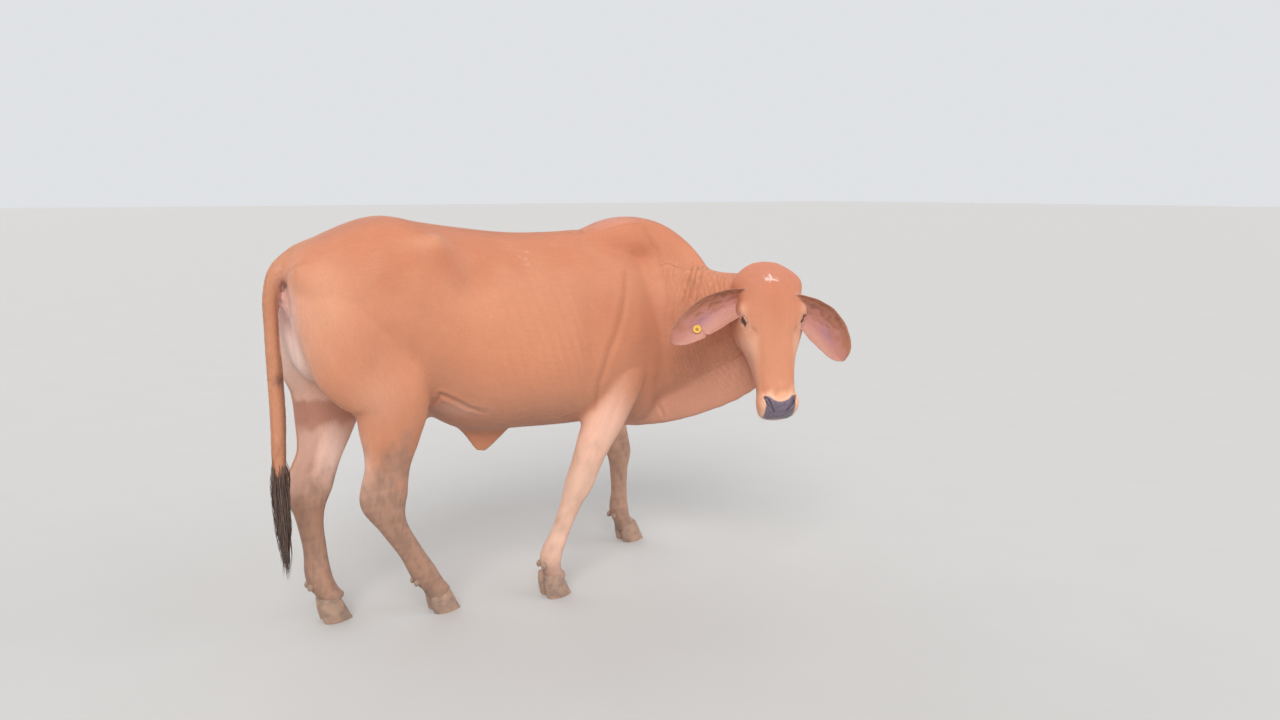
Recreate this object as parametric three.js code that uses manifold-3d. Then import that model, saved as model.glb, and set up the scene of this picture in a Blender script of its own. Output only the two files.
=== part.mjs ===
// Brahman heifer in mid-step, with her head turned to her right: a still, life-size model.
// Millimetres. +X is the way the body faces, +Y is her left side, +Z is up, and the floor is z = 0.
import * as THREE from "three";
import { mergeVertices } from "three/addons/utils/BufferGeometryUtils.js";
import Module from "manifold-3d";

const wasm = await Module();
wasm.setup();

const vec = (x, y, z) => new THREE.Vector3(x, y, z);
const UP = vec(0, 0, 1);
const FORWARD = vec(1, 0, 0);
const RIGHT_SIDE = -1;
const LEFT_SIDE = 1;

// The space that neighbouring nodes keep between their faces.
const GAP = 0.3;
// Bigger than the animal, for the blocks that stand for one side of a cut.
const BLOCK = 4000;
// The share of a course over which its direction is read.
const STEP = 1e-3;

// Colours of the coat and of the bare parts.
const COLOURS = {
  coat: { color: "#c98360", roughness: 0.75, metalness: 0 },
  pale: { color: "#d9b19a", roughness: 0.75, metalness: 0 },
  muddy: { color: "#a58069", roughness: 0.85, metalness: 0 },
  horn: { color: "#5a4f49", roughness: 0.55, metalness: 0 },
  nose: { color: "#4a464c", roughness: 0.4, metalness: 0 },
  ear: { color: "#b9776c", roughness: 0.7, metalness: 0 },
  eye: { color: "#1c130f", roughness: 0.1, metalness: 0 },
  hair: { color: "#4b4238", roughness: 0.8, metalness: 0 },
  tag: { color: "#e5b73a", roughness: 0.4, metalness: 0 },
};

// Solids and meshes

// A closed geometry as a solid that can be joined and cut.
function solid(geometry) {
  const bare = geometry.clone();
  for (const name of Object.keys(bare.attributes)) {
    if (name !== "position") bare.deleteAttribute(name);
  }
  const merged = mergeVertices(bare, 1e-3);
  return new wasm.Manifold(
    new wasm.Mesh({
      numProp: 3,
      vertProperties: merged.attributes.position.array,
      triVerts: new Uint32Array(merged.index.array),
    }),
  );
}

const join = (solids) => solids.reduce((whole, piece) => whole.add(piece));
const cut = (whole, pieces) => pieces.reduce((left, piece) => left.subtract(piece), whole);

// The largest closed surface, without sealed hollows and loose scraps.
function largest(whole) {
  return whole.decompose().reduce((best, piece) => (piece.volume() > best.volume() ? piece : best));
}

function geometryOf(whole) {
  const { vertProperties, triVerts } = whole.getMesh();
  const geometry = new THREE.BufferGeometry();
  geometry.setAttribute("position", new THREE.BufferAttribute(vertProperties, 3));
  geometry.setIndex(new THREE.BufferAttribute(triVerts, 1));
  geometry.computeVertexNormals();
  return geometry;
}

// A block that fills the side of a plane that its normal points away from, moved out by shift.
function behind({ point, normal }, shift) {
  const facing = vec(...normal).normalize();
  const block = new THREE.BoxGeometry(BLOCK, BLOCK, BLOCK);
  block.translate(0, 0, -BLOCK / 2 + shift);
  block.applyQuaternion(new THREE.Quaternion().setFromUnitVectors(UP, facing));
  block.translate(...point);
  return solid(block);
}

// Shaping

const power = (value, exponent) => Math.sign(value) * Math.abs(value) ** exponent;

// A smooth course through rows of numbers, read by the distance between the rows' centres.
function course(rows) {
  const keys = Object.keys(rows[0]).filter((key) => key !== "at");
  const distance = [0];
  for (let i = 1; i < rows.length; i++) {
    distance.push(distance[i - 1] + vec(...rows[i].at).distanceTo(vec(...rows[i - 1].at)));
  }
  const values = rows.flatMap((row) => [...row.at, ...keys.map((key) => row[key])]);
  const smooth = new THREE.CubicInterpolant(distance, values, keys.length + 3);
  const length = distance.at(-1);
  return (share) => {
    const [x, y, z, ...sizes] = smooth.evaluate(share * length);
    return { at: vec(x, y, z), ...Object.fromEntries(keys.map((key, i) => [key, sizes[i]])) };
  };
}

// A body part as a run of cross-sections: a cylinder whose vertices are moved out to the section at
// their place. Each row has its centre (at), its reach above, below, to the left and to the right, and
// how square its upper and lower half are (2 is an ellipse). Sections stand square to the part's line,
// or to axis, and their upper side faces top.
function loft(rows, { sides, rings, top = UP, axis = null, grow = 0 }) {
  const sectionAt = course(rows);
  const tube = new THREE.CylinderGeometry(1, 1, 1, sides, rings);
  const position = tube.attributes.position;
  for (let i = 0; i < position.count; i++) {
    const share = 0.5 - position.getY(i);
    const s = sectionAt(share);
    const ahead = sectionAt(Math.min(1, share + STEP)).at;
    const astern = sectionAt(Math.max(0, share - STEP)).at;
    const along = axis ?? ahead.sub(astern).normalize();
    const lift = top.clone().addScaledVector(along, -top.dot(along)).normalize();
    const left = lift.clone().cross(along);
    const z = position.getZ(i);
    const x = position.getX(i);
    const square = z >= 0 ? s.squareUp : s.squareDown;
    const high = power(z, 2 / square) * ((z >= 0 ? s.above : s.below) + grow);
    const wide = power(x, 2 / square) * ((x >= 0 ? s.left : s.right) + grow);
    const end = along.clone().multiplyScalar(share === 0 ? -grow : share === 1 ? grow : 0);
    const placed = s.at.addScaledVector(lift, high).addScaledVector(left, wide).add(end);
    position.setXYZ(i, placed.x, placed.y, placed.z);
  }
  return tube;
}

// Pushes what lies near a point by a vector, fading out over its reach, as a bone or muscle does.
function swell(geometry, { at, reach, by }) {
  const position = geometry.attributes.position;
  for (let i = 0; i < position.count; i++) {
    const far =
      ((position.getX(i) - at[0]) / reach[0]) ** 2 +
      ((position.getY(i) - at[1]) / reach[1]) ** 2 +
      ((position.getZ(i) - at[2]) / reach[2]) ** 2;
    const share = Math.exp(-far);
    position.setXYZ(
      i,
      position.getX(i) + by[0] * share,
      position.getY(i) + by[1] * share,
      position.getZ(i) + by[2] * share,
    );
  }
}

// The same swelling on both sides of the middle.
function swellPair(geometry, { at, reach, by }) {
  for (const side of [RIGHT_SIDE, LEFT_SIDE]) {
    swell(geometry, { at: [at[0], at[1] * side, at[2]], reach, by: [by[0], by[1] * side, by[2]] });
  }
}

// A ball stretched to three radii.
function ball(at, [rx, ry, rz], sides = 16) {
  const geometry = new THREE.SphereGeometry(1, sides, sides / 2);
  geometry.rotateX(Math.PI / 2).scale(rx, ry, rz).translate(...at);
  return geometry;
}

// Torso

// x, spine height, belly height, height of the widest level, half width, and how square the section is.
const torsoRow = (x, spine, belly, widest, half, squareUp, squareDown) => ({
  at: [x, 0, widest],
  above: spine - widest,
  below: widest - belly,
  left: half,
  right: half,
  squareUp,
  squareDown,
});

const TORSO = [
  torsoRow(-724, 1182, 960, 1100, 80, 2.4, 2),
  torsoRow(-695, 1232, 880, 1085, 136, 2.4, 2),
  torsoRow(-600, 1284, 800, 1050, 188, 2.4, 2),
  torsoRow(-415, 1341, 740, 1060, 222, 2.6, 2),
  torsoRow(-300, 1322, 690, 1040, 232, 2.7, 2),
  torsoRow(-150, 1300, 612, 930, 246, 2.1, 2.1),
  torsoRow(40, 1279, 598, 880, 262, 1.9, 2.2),
  torsoRow(200, 1277, 588, 860, 250, 1.8, 2.2),
  torsoRow(340, 1280, 580, 850, 222, 1.7, 2.1),
  torsoRow(470, 1255, 560, 850, 200, 1.7, 2),
  torsoRow(580, 1190, 545, 850, 158, 1.8, 2),
  torsoRow(640, 1060, 600, 840, 96, 2, 2),
];

function torso(grow) {
  const body = loft(TORSO, { sides: 28, rings: 28, axis: FORWARD, grow });
  // Hook bones, pin bones, the hollow of the flank and the groove under the tail
  swellPair(body, { at: [-305, 205, 1250], reach: [52, 60, 48], by: [0, 20, 16] });
  swellPair(body, { at: [-715, 110, 1150], reach: [45, 45, 55], by: [-8, 14, 10] });
  swellPair(body, { at: [-185, 230, 1120], reach: [85, 90, 80], by: [0, -30, -6] });
  swell(body, { at: [-724, 0, 1060], reach: [50, 50, 130], by: [30, 0, 0] });
  // Shoulder blades, the hollow behind them, and the points of the shoulders
  swellPair(body, { at: [400, 190, 1060], reach: [120, 90, 170], by: [0, 26, 6] });
  swellPair(body, { at: [245, 240, 960], reach: [55, 90, 170], by: [0, -16, 0] });
  swellPair(body, { at: [560, 150, 880], reach: [75, 70, 95], by: [6, 14, 0] });
  return body;
}

// Low hump over the shoulders, leaning into the bend of the neck.
const humpRow = (at, above, half) => ({
  at,
  above,
  below: 90,
  left: half,
  right: half,
  squareUp: 2.1,
  squareDown: 2,
});

const HUMP = [
  humpRow([270, 0, 1190], 70, 60),
  humpRow([350, 0, 1205], 80, 84),
  humpRow([440, 0, 1215], 101, 96),
  humpRow([530, -8, 1218], 107, 96),
  humpRow([600, -30, 1196], 114, 88),
  humpRow([655, -75, 1146], 116, 78),
  humpRow([700, -135, 1080], 108, 66),
  humpRow([735, -195, 1030], 90, 54),
];

// Neck and dewlap

const neckRow = (at, above, below, half, squareUp = 1.9, squareDown = 2) => ({
  at,
  above,
  below,
  left: half,
  right: half,
  squareUp,
  squareDown,
});

const NECK = [
  neckRow([430, 0, 960], 250, 320, 150),
  neckRow([590, -50, 950], 255, 330, 138),
  neckRow([690, -160, 962], 205, 260, 116),
  neckRow([755, -280, 992], 152, 205, 98),
  neckRow([795, -375, 1035], 100, 165, 90),
  neckRow([815, -440, 1062], 66, 120, 80),
];

const DEWLAP = [
  neckRow([470, 0, 650], 120, 108, 66, 2, 1.7),
  neckRow([560, -8, 650], 130, 128, 56, 2, 1.7),
  neckRow([632, -80, 680], 140, 144, 42, 2, 1.6),
  neckRow([690, -172, 722], 140, 150, 34, 2, 1.5),
  neckRow([735, -262, 765], 140, 148, 30, 2, 1.5),
  neckRow([775, -355, 815], 130, 138, 27, 2, 1.5),
  neckRow([800, -415, 855], 110, 116, 24, 2, 1.5),
  neckRow([812, -455, 890], 70, 70, 20, 2, 1.5),
];

// Head, made level with its nose along +X and its poll near the origin, then set in its place

const HEAD_AT = vec(811, -436, 1150);
const HEAD_HEADING = THREE.MathUtils.degToRad(-112);
const NOSE_DROP = THREE.MathUtils.degToRad(68);

function headPlace() {
  const heading = vec(Math.cos(HEAD_HEADING), Math.sin(HEAD_HEADING), 0);
  const nose = heading.clone().multiplyScalar(Math.cos(NOSE_DROP)).addScaledVector(UP, -Math.sin(NOSE_DROP));
  const left = UP.clone().cross(heading);
  const brow = nose.clone().cross(left);
  return new THREE.Matrix4().makeBasis(nose, left, brow).setPosition(HEAD_AT);
}

const HEAD_PLACE = headPlace();

const headRow = (x, z, above, below, half, squareUp, squareDown) => ({
  at: [x, 0, z],
  above,
  below,
  left: half,
  right: half,
  squareUp,
  squareDown,
});

const HEAD = [
  headRow(-16, 26, 10, 24, 22, 2, 2),
  headRow(-7, 18, 24, 52, 52, 2, 2),
  headRow(14, 8, 47, 80, 88, 2, 2),
  headRow(50, 2, 74, 96, 114, 2.2, 1.9),
  headRow(100, 0, 84, 108, 121, 2.4, 1.9),
  headRow(160, 0, 84, 118, 124, 2.6, 2),
  headRow(210, 0, 79, 124, 119, 2.6, 2.1),
  headRow(262, 0, 70, 116, 106, 2.5, 2.1),
  headRow(330, 0, 60, 92, 87, 2.4, 2),
  headRow(400, 0, 52, 70, 70, 2.4, 2),
  headRow(445, 0, 50, 60, 66, 2.5, 2.1),
  headRow(480, 0, 48, 58, 71, 2.5, 2.2),
  headRow(508, -6, 38, 50, 69, 2.4, 2.2),
  headRow(526, -14, 24, 38, 57, 2.3, 2.2),
  headRow(536, -18, 10, 22, 36, 2, 2),
];

const LID = 4.5;
const EYE = { at: [195, 93, 41], radius: 20 };
const NOSTRIL = { at: [491, 38, 37], radii: [21, 6.5, 13] };
// The bare pad: its reach along the nose, half width, lower edge, and the dip in its upper edge.
const PAD = { from: 473, to: 560, half: 53, low: -16, high: 70, dip: { at: 437, radius: 50 } };

function skull(grow) {
  const head = loft(HEAD, { sides: 22, rings: 28, axis: FORWARD, grow });
  // The left side of the poll and its orbit, which stand out further
  swell(head, { at: [62, 110, 25], reach: [58, 60, 60], by: [0, 15, 2] });
  swell(head, { at: [176, 114, 40], reach: [38, 36, 44], by: [0, 8, 0] });
  // Brow ridges, orbits, cheeks, the hollow before them, nostril wings and chin
  swellPair(head, { at: [170, 104, 58], reach: [46, 30, 32], by: [0, 10, 7] });
  swellPair(head, { at: [236, 102, 6], reach: [44, 30, 30], by: [0, 4, 0] });
  swellPair(head, { at: [230, 88, -80], reach: [75, 40, 45], by: [0, 8, -4] });
  swellPair(head, { at: [330, 78, 0], reach: [50, 30, 40], by: [0, -7, 0] });
  swellPair(head, { at: [488, 58, 20], reach: [26, 22, 22], by: [2, 5, 6] });
  swell(head, { at: [505, 0, -56], reach: [30, 40, 20], by: [2, 0, -9] });
  return head;
}

// Ears

// A thin leaf with a hollow face: each row has its centre, half width, half thickness and depth of cup.
// Both faces are divided alike, so that the leaf keeps its thickness.
function leaf(rows, { face, sides, rings }) {
  const sectionAt = course(rows);
  const tube = new THREE.CylinderGeometry(1, 1, 1, sides, rings);
  const position = tube.attributes.position;
  for (let i = 0; i < position.count; i++) {
    const share = 0.5 - position.getY(i);
    const s = sectionAt(share);
    const ahead = sectionAt(Math.min(1, share + STEP)).at;
    const astern = sectionAt(Math.max(0, share - STEP)).at;
    const along = ahead.sub(astern).normalize();
    const front = face.clone().addScaledVector(along, -face.dot(along)).normalize();
    const across = front.clone().cross(along);
    const x = position.getX(i);
    const deep = s.cup * x * x + s.thick * position.getZ(i);
    const placed = s.at.addScaledVector(across, x * s.half).addScaledVector(front, deep);
    position.setXYZ(i, placed.x, placed.y, placed.z);
  }
  const index = tube.index.array;
  for (let column = 0; column < sides; column++) {
    const angle = ((column + 0.5) / sides) * 2 * Math.PI;
    if (Math.cos(angle) > 0) continue;
    for (let row = 0; row < rings; row++) {
      const start = (column * rings + row) * 6;
      const [a, b, d, , c] = index.slice(start, start + 5);
      index.set([a, b, c, a, c, d], start);
    }
  }
  return tube;
}

const earRow = (at, half, thick, cup) => ({ at, half, thick, cup });

const EARS = {
  right: {
    face: vec(-0.42, -0.86, 0.1),
    rows: [
      earRow([752, -470, 1052], 24, 10, 6),
      earRow([707, -463, 1048], 36, 8, 26),
      earRow([659, -447, 1035], 51, 5, 40),
      earRow([606, -420, 1009], 60, 4.5, 34),
      earRow([556, -394, 972], 58, 4, 24),
      earRow([516, -370, 936], 46, 3.6, 14),
      earRow([492, -354, 908], 24, 3, 5),
      earRow([484, -348, 896], 4, 2, 0),
    ],
  },
  left: {
    face: vec(-0.62, -0.76, 0.2),
    rows: [
      earRow([832, -544, 1037], 36, 10, 6),
      earRow([872, -559, 1015], 50, 8, 30),
      earRow([911, -575, 987], 63, 5, 42),
      earRow([951, -592, 952], 67, 4.5, 34),
      earRow([989, -606, 910], 60, 4, 24),
      earRow([1018, -614, 866], 46, 3.6, 14),
      earRow([1036, -618, 834], 24, 3, 5),
      earRow([1043, -620, 822], 4, 2, 0),
    ],
  },
};

// Tail

const tailRow = (at, thick, wide) => ({
  at,
  above: thick,
  below: thick,
  left: wide,
  right: wide,
  squareUp: 2,
  squareDown: 2,
});

const TAIL = [
  tailRow([-600, 0, 1248], 34, 46),
  tailRow([-672, 0, 1222], 34, 42),
  tailRow([-729, 0, 1176], 30, 34),
  tailRow([-754, 0, 1106], 26, 28),
  tailRow([-758, 0, 1020], 24, 25),
  tailRow([-757, 0, 880], 25, 26),
  tailRow([-756, 0, 740], 25, 26),
  tailRow([-761, 0, 600], 23, 24),
  tailRow([-764, 0, 520], 18, 20),
  tailRow([-764, 0, 440], 12, 14),
];

const BACK_AND_UP = vec(-1, 0, 1).normalize();

// Switch: flat, tapered locks that leave the end of the tail in rows and hang past each other
const SWITCH = {
  locks: 10,
  top: 560,
  tip: 206,
  at: [-766, 0],
  stagger: 90,
  turn: 2.4,
  spread: 26,
  sway: 9,
  lean: 14,
};

const lockRow = (at, half, thick) => ({
  at,
  above: thick,
  below: thick,
  left: half,
  right: half,
  squareUp: 2,
  squareDown: 2,
});

// The fractional part of a sine, the same on every run.
const noise = (seed) => {
  const value = Math.sin(seed * 127.1 + 311.7) * 43758.5453;
  return value - Math.floor(value);
};

function switchLock(i, grow) {
  const { locks, top, tip, at, stagger, turn, sway, lean } = SWITCH;
  const angle = i * turn;
  const out = vec(Math.cos(angle), Math.sin(angle), 0);
  const rank = i / (locks - 1);
  const root = top - stagger * rank;
  const end = tip + stagger * noise(i + 1) * (1 - rank);
  const drop = root - end;
  const spread = SWITCH.spread * (1 - 0.55 * rank);
  const rows = [0, 0.25, 0.5, 0.75, 0.92, 1].map((share, row) => {
    const away = [4, spread, spread + 6, spread, spread * 0.6, spread * 0.4][row];
    const aside = sway * (noise(i + 31) - 0.5) * share;
    const middle = vec(at[0] + lean * share * share, at[1] + aside, root - drop * share);
    const centre = middle.addScaledVector(out, away);
    return lockRow(centre.toArray(), [9, 15, 15, 11, 6, 1.5][row], [7, 8, 7, 5, 3, 1][row]);
  });
  return loft(rows, { sides: 6, rings: 5, top: out, grow });
}

// Legs

const legRow = (at, above, below, outer, inner, side, square = 2.1) => ({
  at,
  above,
  below,
  left: side === LEFT_SIDE ? outer : inner,
  right: side === LEFT_SIDE ? inner : outer,
  squareUp: square,
  squareDown: square,
});

// Where each leg's joints are: the feet are set down in a walk, the right hind one far forward.
const HIND_LEGS = {
  right: {
    side: RIGHT_SIDE,
    croup: [-560, -92, 1185],
    rump: [-545, -112, 1060],
    thigh: [-535, -128, 920],
    stifle: [-455, -140, 780],
    gaskin: [-452, -138, 655],
    shin: [-462, -130, 560],
    hock: [-474, -122, 452],
    cannonTop: [-446, -108, 362],
    cannon: [-384, -86, 250],
    fetlock: [-324, -58, 146],
    pastern: [-296, -48, 104],
    coronet: [-272, -42, 62],
  },
  left: {
    side: LEFT_SIDE,
    croup: [-560, 92, 1185],
    rump: [-560, 112, 1060],
    thigh: [-572, 128, 920],
    stifle: [-560, 140, 780],
    gaskin: [-576, 138, 655],
    shin: [-602, 130, 560],
    hock: [-642, 124, 452],
    cannonTop: [-646, 116, 362],
    cannon: [-638, 108, 250],
    fetlock: [-630, 100, 146],
    pastern: [-612, 96, 104],
    coronet: [-590, 94, 62],
  },
};

function hindLeg(j, grow) {
  const rows = [
    legRow(j.croup, 100, 158, 66, 50, j.side, 1.8),
    legRow(j.rump, 176, 180, 92, 70, j.side, 1.8),
    legRow(j.thigh, 200, 158, 98, 92, j.side, 1.8),
    legRow(j.stifle, 140, 122, 84, 78, j.side),
    legRow(j.gaskin, 98, 98, 62, 56, j.side),
    legRow(j.shin, 74, 76, 45, 44, j.side),
    legRow(j.hock, 74, 78, 43, 42, j.side, 2.4),
    legRow(j.cannonTop, 46, 50, 36, 36, j.side),
    legRow(j.cannon, 38, 40, 32, 32, j.side),
    legRow(j.fetlock, 42, 46, 42, 42, j.side),
    legRow(j.pastern, 38, 42, 40, 40, j.side),
    legRow(j.coronet, 46, 46, 46, 46, j.side),
  ];
  return loft(rows, { sides: 12, rings: 28, top: FORWARD, grow });
}

const FORELEGS = {
  right: {
    side: RIGHT_SIDE,
    shoulder: [455, -90, 1000],
    elbow: [400, -132, 790],
    forearm: [346, -150, 650],
    shin: [275, -152, 500],
    knee: [217, -150, 382],
    cannonTop: [186, -149, 312],
    cannon: [146, -148, 220],
    fetlock: [108, -147, 138],
    pastern: [112, -146, 98],
    coronet: [122, -146, 58],
  },
  left: {
    side: LEFT_SIDE,
    shoulder: [470, 90, 1000],
    elbow: [490, 132, 790],
    forearm: [524, 148, 650],
    shin: [562, 156, 500],
    knee: [590, 160, 382],
    cannonTop: [596, 164, 312],
    cannon: [600, 168, 220],
    fetlock: [602, 172, 138],
    pastern: [616, 175, 98],
    coronet: [636, 178, 60],
  },
};

function foreleg(j, grow) {
  const rows = [
    legRow(j.shoulder, 70, 80, 36, 40, j.side),
    legRow(j.elbow, 116, 104, 80, 60, j.side),
    legRow(j.forearm, 88, 94, 60, 56, j.side),
    legRow(j.shin, 58, 68, 46, 44, j.side),
    legRow(j.knee, 48, 47, 44, 42, j.side, 2.4),
    legRow(j.cannonTop, 36, 40, 34, 34, j.side),
    legRow(j.cannon, 30, 36, 30, 30, j.side),
    legRow(j.fetlock, 36, 42, 40, 40, j.side),
    legRow(j.pastern, 34, 38, 38, 38, j.side),
    legRow(j.coronet, 44, 44, 46, 46, j.side),
  ];
  return loft(rows, { sides: 12, rings: 26, top: FORWARD, grow });
}

// Feet

// A claw of a hoof from above the coronet down to its sole, which stands flat on the floor.
const clawRow = (x, y, z, fore, aft, half) => ({
  at: [x, y, z],
  above: fore,
  below: aft,
  left: half,
  right: half,
  squareUp: 1.8,
  squareDown: 2.2,
});

function claw([x, y], side) {
  const rows = [
    clawRow(x - 12, y + side * 23, 84, 34, 32, 21),
    clawRow(x - 6, y + side * 24, 56, 42, 38, 22.5),
    clawRow(x + 2, y + side * 24.5, 26, 47, 42, 23),
    clawRow(x + 10, y + side * 24.5, 0, 52, 44, 22),
  ];
  return loft(rows, { sides: 12, rings: 4, top: FORWARD, axis: vec(0, 0, -1) });
}

const coronet = ([x, y]) => ({ point: [x, y, 60], normal: [-0.34, 0, 1] });

// Small horny claws behind the fetlock.
const dewclaw = ([x, y, z], side) => ball([x - 40, y + side * 19, z - 18], [13, 10, 15], 8);

const FEET = {
  fore_right: { sole: [114, -146], leg: FORELEGS.right, make: foreleg, knee: 590 },
  fore_left: { sole: [646, 180], leg: FORELEGS.left, make: foreleg, knee: 590 },
  hind_right: { sole: [-266, -38], leg: HIND_LEGS.right, make: hindLeg, knee: 645 },
  hind_left: { sole: [-600, 90], leg: HIND_LEGS.left, make: hindLeg, knee: 645 },
};

// Navel flap and udder

const flapRow = (x, z, fore, aft, half) => ({
  at: [x, 0, z],
  above: fore,
  below: aft,
  left: half,
  right: half,
  squareUp: 1.8,
  squareDown: 1.8,
});

const NAVEL_FLAP = [
  flapRow(-60, 650, 120, 120, 30),
  flapRow(-66, 600, 96, 108, 24),
  flapRow(-74, 560, 60, 72, 17),
  flapRow(-82, 530, 30, 34, 12),
  flapRow(-86, 508, 9, 9, 7),
];

function udder() {
  const teats = [-30, 30].flatMap((x) =>
    [-22, 22].map((y) => solid(ball([-345 + x, y, 640], [9, 9, 26], 6))),
  );
  return join([solid(ball([-345, 0, 690], [78, 62, 52], 12)), ...teats]);
}

// Ear tag: a button on the front of the right ear, its pin through the ear, and a plate behind

const TAG = {
  at: [554.8, -397.8, 948.4],
  facing: vec(-0.6, -0.79, 0.1).normalize(),
  button: { radius: 14, thick: 4, out: 10 },
  pin: { radius: 3, long: 17, out: 1.5 },
  plate: { radius: 11, thick: 3, out: -8.5 },
};

function tagDisc(radius, thickness, offset) {
  const disc = new THREE.CylinderGeometry(radius, radius, thickness, 24);
  disc.applyQuaternion(new THREE.Quaternion().setFromUnitVectors(vec(0, 1, 0), TAG.facing));
  const centre = vec(...TAG.at).addScaledVector(TAG.facing, offset);
  return solid(disc.translate(centre.x, centre.y, centre.z));
}

// Assembly

const group = new THREE.Group();

function add(name, whole, colour) {
  const mesh = new THREE.Mesh(geometryOf(largest(whole)), new THREE.MeshStandardMaterial(COLOURS[colour]));
  mesh.name = name;
  group.add(mesh);
}

const onHead = (geometry) => solid(geometry.applyMatrix4(HEAD_PLACE));
const atHead = ([x, y, z]) => vec(x, y, z).applyMatrix4(HEAD_PLACE).toArray();

// Planes that part the body; each faces the head or, on a leg, upward.
const CUTS = {
  loin: { point: [-150, 0, 0], normal: [1, 0, 0] },
  withers: { point: [250, 0, 0], normal: [1, 0, 0] },
  hump: { point: [330, 0, 1284], normal: [0.21, 0, 1] },
  neck: { point: [640, -95, 0], normal: [0.7, -0.71, 0] },
  poll: { point: atHead([-20, 0, 0]), normal: [-0.15, -0.94, -0.3] },
};

const upperPart = (plane, whole) => whole.subtract(behind(plane, GAP / 2));
const lowerPart = (plane, whole) => whole.intersect(behind(plane, -GAP / 2));
const between = (low, high, whole) => lowerPart(high, upperPart(low, whole));

// The eye's place and the way it looks, on one side of the head.
const eyeAt = (side) => [EYE.at[0], EYE.at[1] * side, EYE.at[2]];
const lookOut = (side) => vec(0.45, side * 0.72, 0.53).normalize();
const innerCorner = (side) => vec(0.88, side * -0.42, -0.02);
const SLACK = GAP * 1.5;

const lidBall = (side, grow) => {
  const r = EYE.radius + LID + grow;
  return onHead(ball(eyeAt(side), [r, r, r], 14));
};

function lids(side) {
  const opening = ball([0, 0, 0], [20, 7, 13], 10);
  const look = lookOut(side);
  const inward = innerCorner(side);
  inward.addScaledVector(look, -inward.dot(look)).normalize();
  opening.applyMatrix4(new THREE.Matrix4().makeBasis(inward, look.clone().cross(inward), look));
  const centre = vec(...eyeAt(side)).addScaledVector(look, EYE.radius);
  opening.translate(centre.x, centre.y, centre.z);
  return { shell: lidBall(side, 0), opening: onHead(opening) };
}

const SIDES = [RIGHT_SIDE, LEFT_SIDE];
const LIDS = SIDES.map(lids);
const eyeball = (side, r) => onHead(ball(eyeAt(side), [r, r, r], 18));

// Mouth line: a thin slot cut only as deep as the lips
const slot = new THREE.BoxGeometry(150, 300, 3).rotateY(0.1).translate(500, 0, -30);
const mouth = onHead(slot).subtract(onHead(skull(-7)));
const nostril = (side) => {
  const [x, y, z] = NOSTRIL.at;
  const hole = ball([0, 0, 0], NOSTRIL.radii, 8).rotateY(0.38).rotateZ(side * -0.55);
  return onHead(hole.translate(x, y * side, z));
};

// The bare pad takes in the front of the muzzle between the nostrils, and its upper edge dips between them.
function nosePad(grow) {
  const { from, to, half, low, high, dip } = PAD;
  const block = new THREE.BoxGeometry(to - from + grow, 2 * (half + grow), high - low + grow);
  block.translate((from + to - grow) / 2, 0, (low + high - grow) / 2);
  const round = new THREE.CylinderGeometry(dip.radius - grow, dip.radius - grow, 400, 24);
  round.rotateX(Math.PI / 2).translate(dip.at, 0, 0);
  return onHead(block).subtract(onHead(round));
}

const head = cut(join([onHead(skull(0)), ...LIDS.map((lid) => lid.shell)]), [
  ...LIDS.map((lid) => lid.opening),
  ...SIDES.map((side) => eyeball(side, EYE.radius + SLACK)),
  ...SIDES.map(nostril),
  mouth,
]);

const feet = Object.entries(FEET).map(([name, foot]) => {
  const kneePlane = { point: [0, 0, foot.knee], normal: [0, 0, 1] };
  const whole = solid(foot.make(foot.leg, 0));
  const grown = solid(foot.make(foot.leg, SLACK));
  return { name, ...foot, kneePlane, whole, grown };
});

const body = join([
  solid(torso(0)),
  solid(loft(HUMP, { sides: 18, rings: 14 })),
  solid(loft(NECK, { sides: 26, rings: 16 })),
  head,
  ...feet.map((foot) => upperPart(foot.kneePlane, foot.whole)),
]);
const grownBody = join([
  solid(torso(SLACK)),
  solid(loft(HUMP, { sides: 18, rings: 14, grow: SLACK })),
  solid(loft(NECK, { sides: 26, rings: 16, grow: SLACK })),
  onHead(skull(SLACK)),
  ...SIDES.map((side) => lidBall(side, SLACK)),
  ...feet.map((foot) => foot.grown),
]);

const hump = upperPart(CUTS.hump, body);
const trunk = lowerPart(CUTS.hump, body);
add("hindquarters", lowerPart(CUTS.loin, trunk), "coat");
add("barrel", between(CUTS.loin, CUTS.withers, trunk), "coat");
add("forequarters", between(CUTS.withers, CUTS.neck, trunk), "coat");
add("hump", hump, "coat");
const foreparts = upperPart(CUTS.neck, trunk);
add("neck", lowerPart(CUTS.poll, foreparts), "coat");
const face = upperPart(CUTS.poll, foreparts);
add("head", face.subtract(nosePad(SLACK)), "coat");
add("nose_pad", face.intersect(nosePad(0)), "nose");
SIDES.forEach((side) => add(side < 0 ? "eye_right" : "eye_left", eyeball(side, EYE.radius), "eye"));

add("dewlap", solid(loft(DEWLAP, { sides: 14, rings: 18 })).subtract(grownBody), "coat");
add("navel_flap", solid(loft(NAVEL_FLAP, { sides: 12, rings: 8, top: FORWARD })).subtract(grownBody), "coat");
add("udder", udder().subtract(grownBody), "pale");

const pinHole = tagDisc(TAG.pin.radius + SLACK, 60, 0);
const earRight = solid(leaf(EARS.right.rows, { face: EARS.right.face, sides: 14, rings: 13 }));
const earLeft = solid(leaf(EARS.left.rows, { face: EARS.left.face, sides: 14, rings: 13 }));
add("ear_right", earRight.subtract(grownBody).subtract(pinHole), "ear");
add("ear_left", earLeft.subtract(grownBody), "ear");
const { button, plate, pin } = TAG;
const post = tagDisc(pin.radius, pin.long, pin.out);
add("ear_tag_front", tagDisc(button.radius, button.thick, button.out).add(post), "tag");
add("ear_tag_back", tagDisc(plate.radius, plate.thick, plate.out - GAP), "tag");

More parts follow.
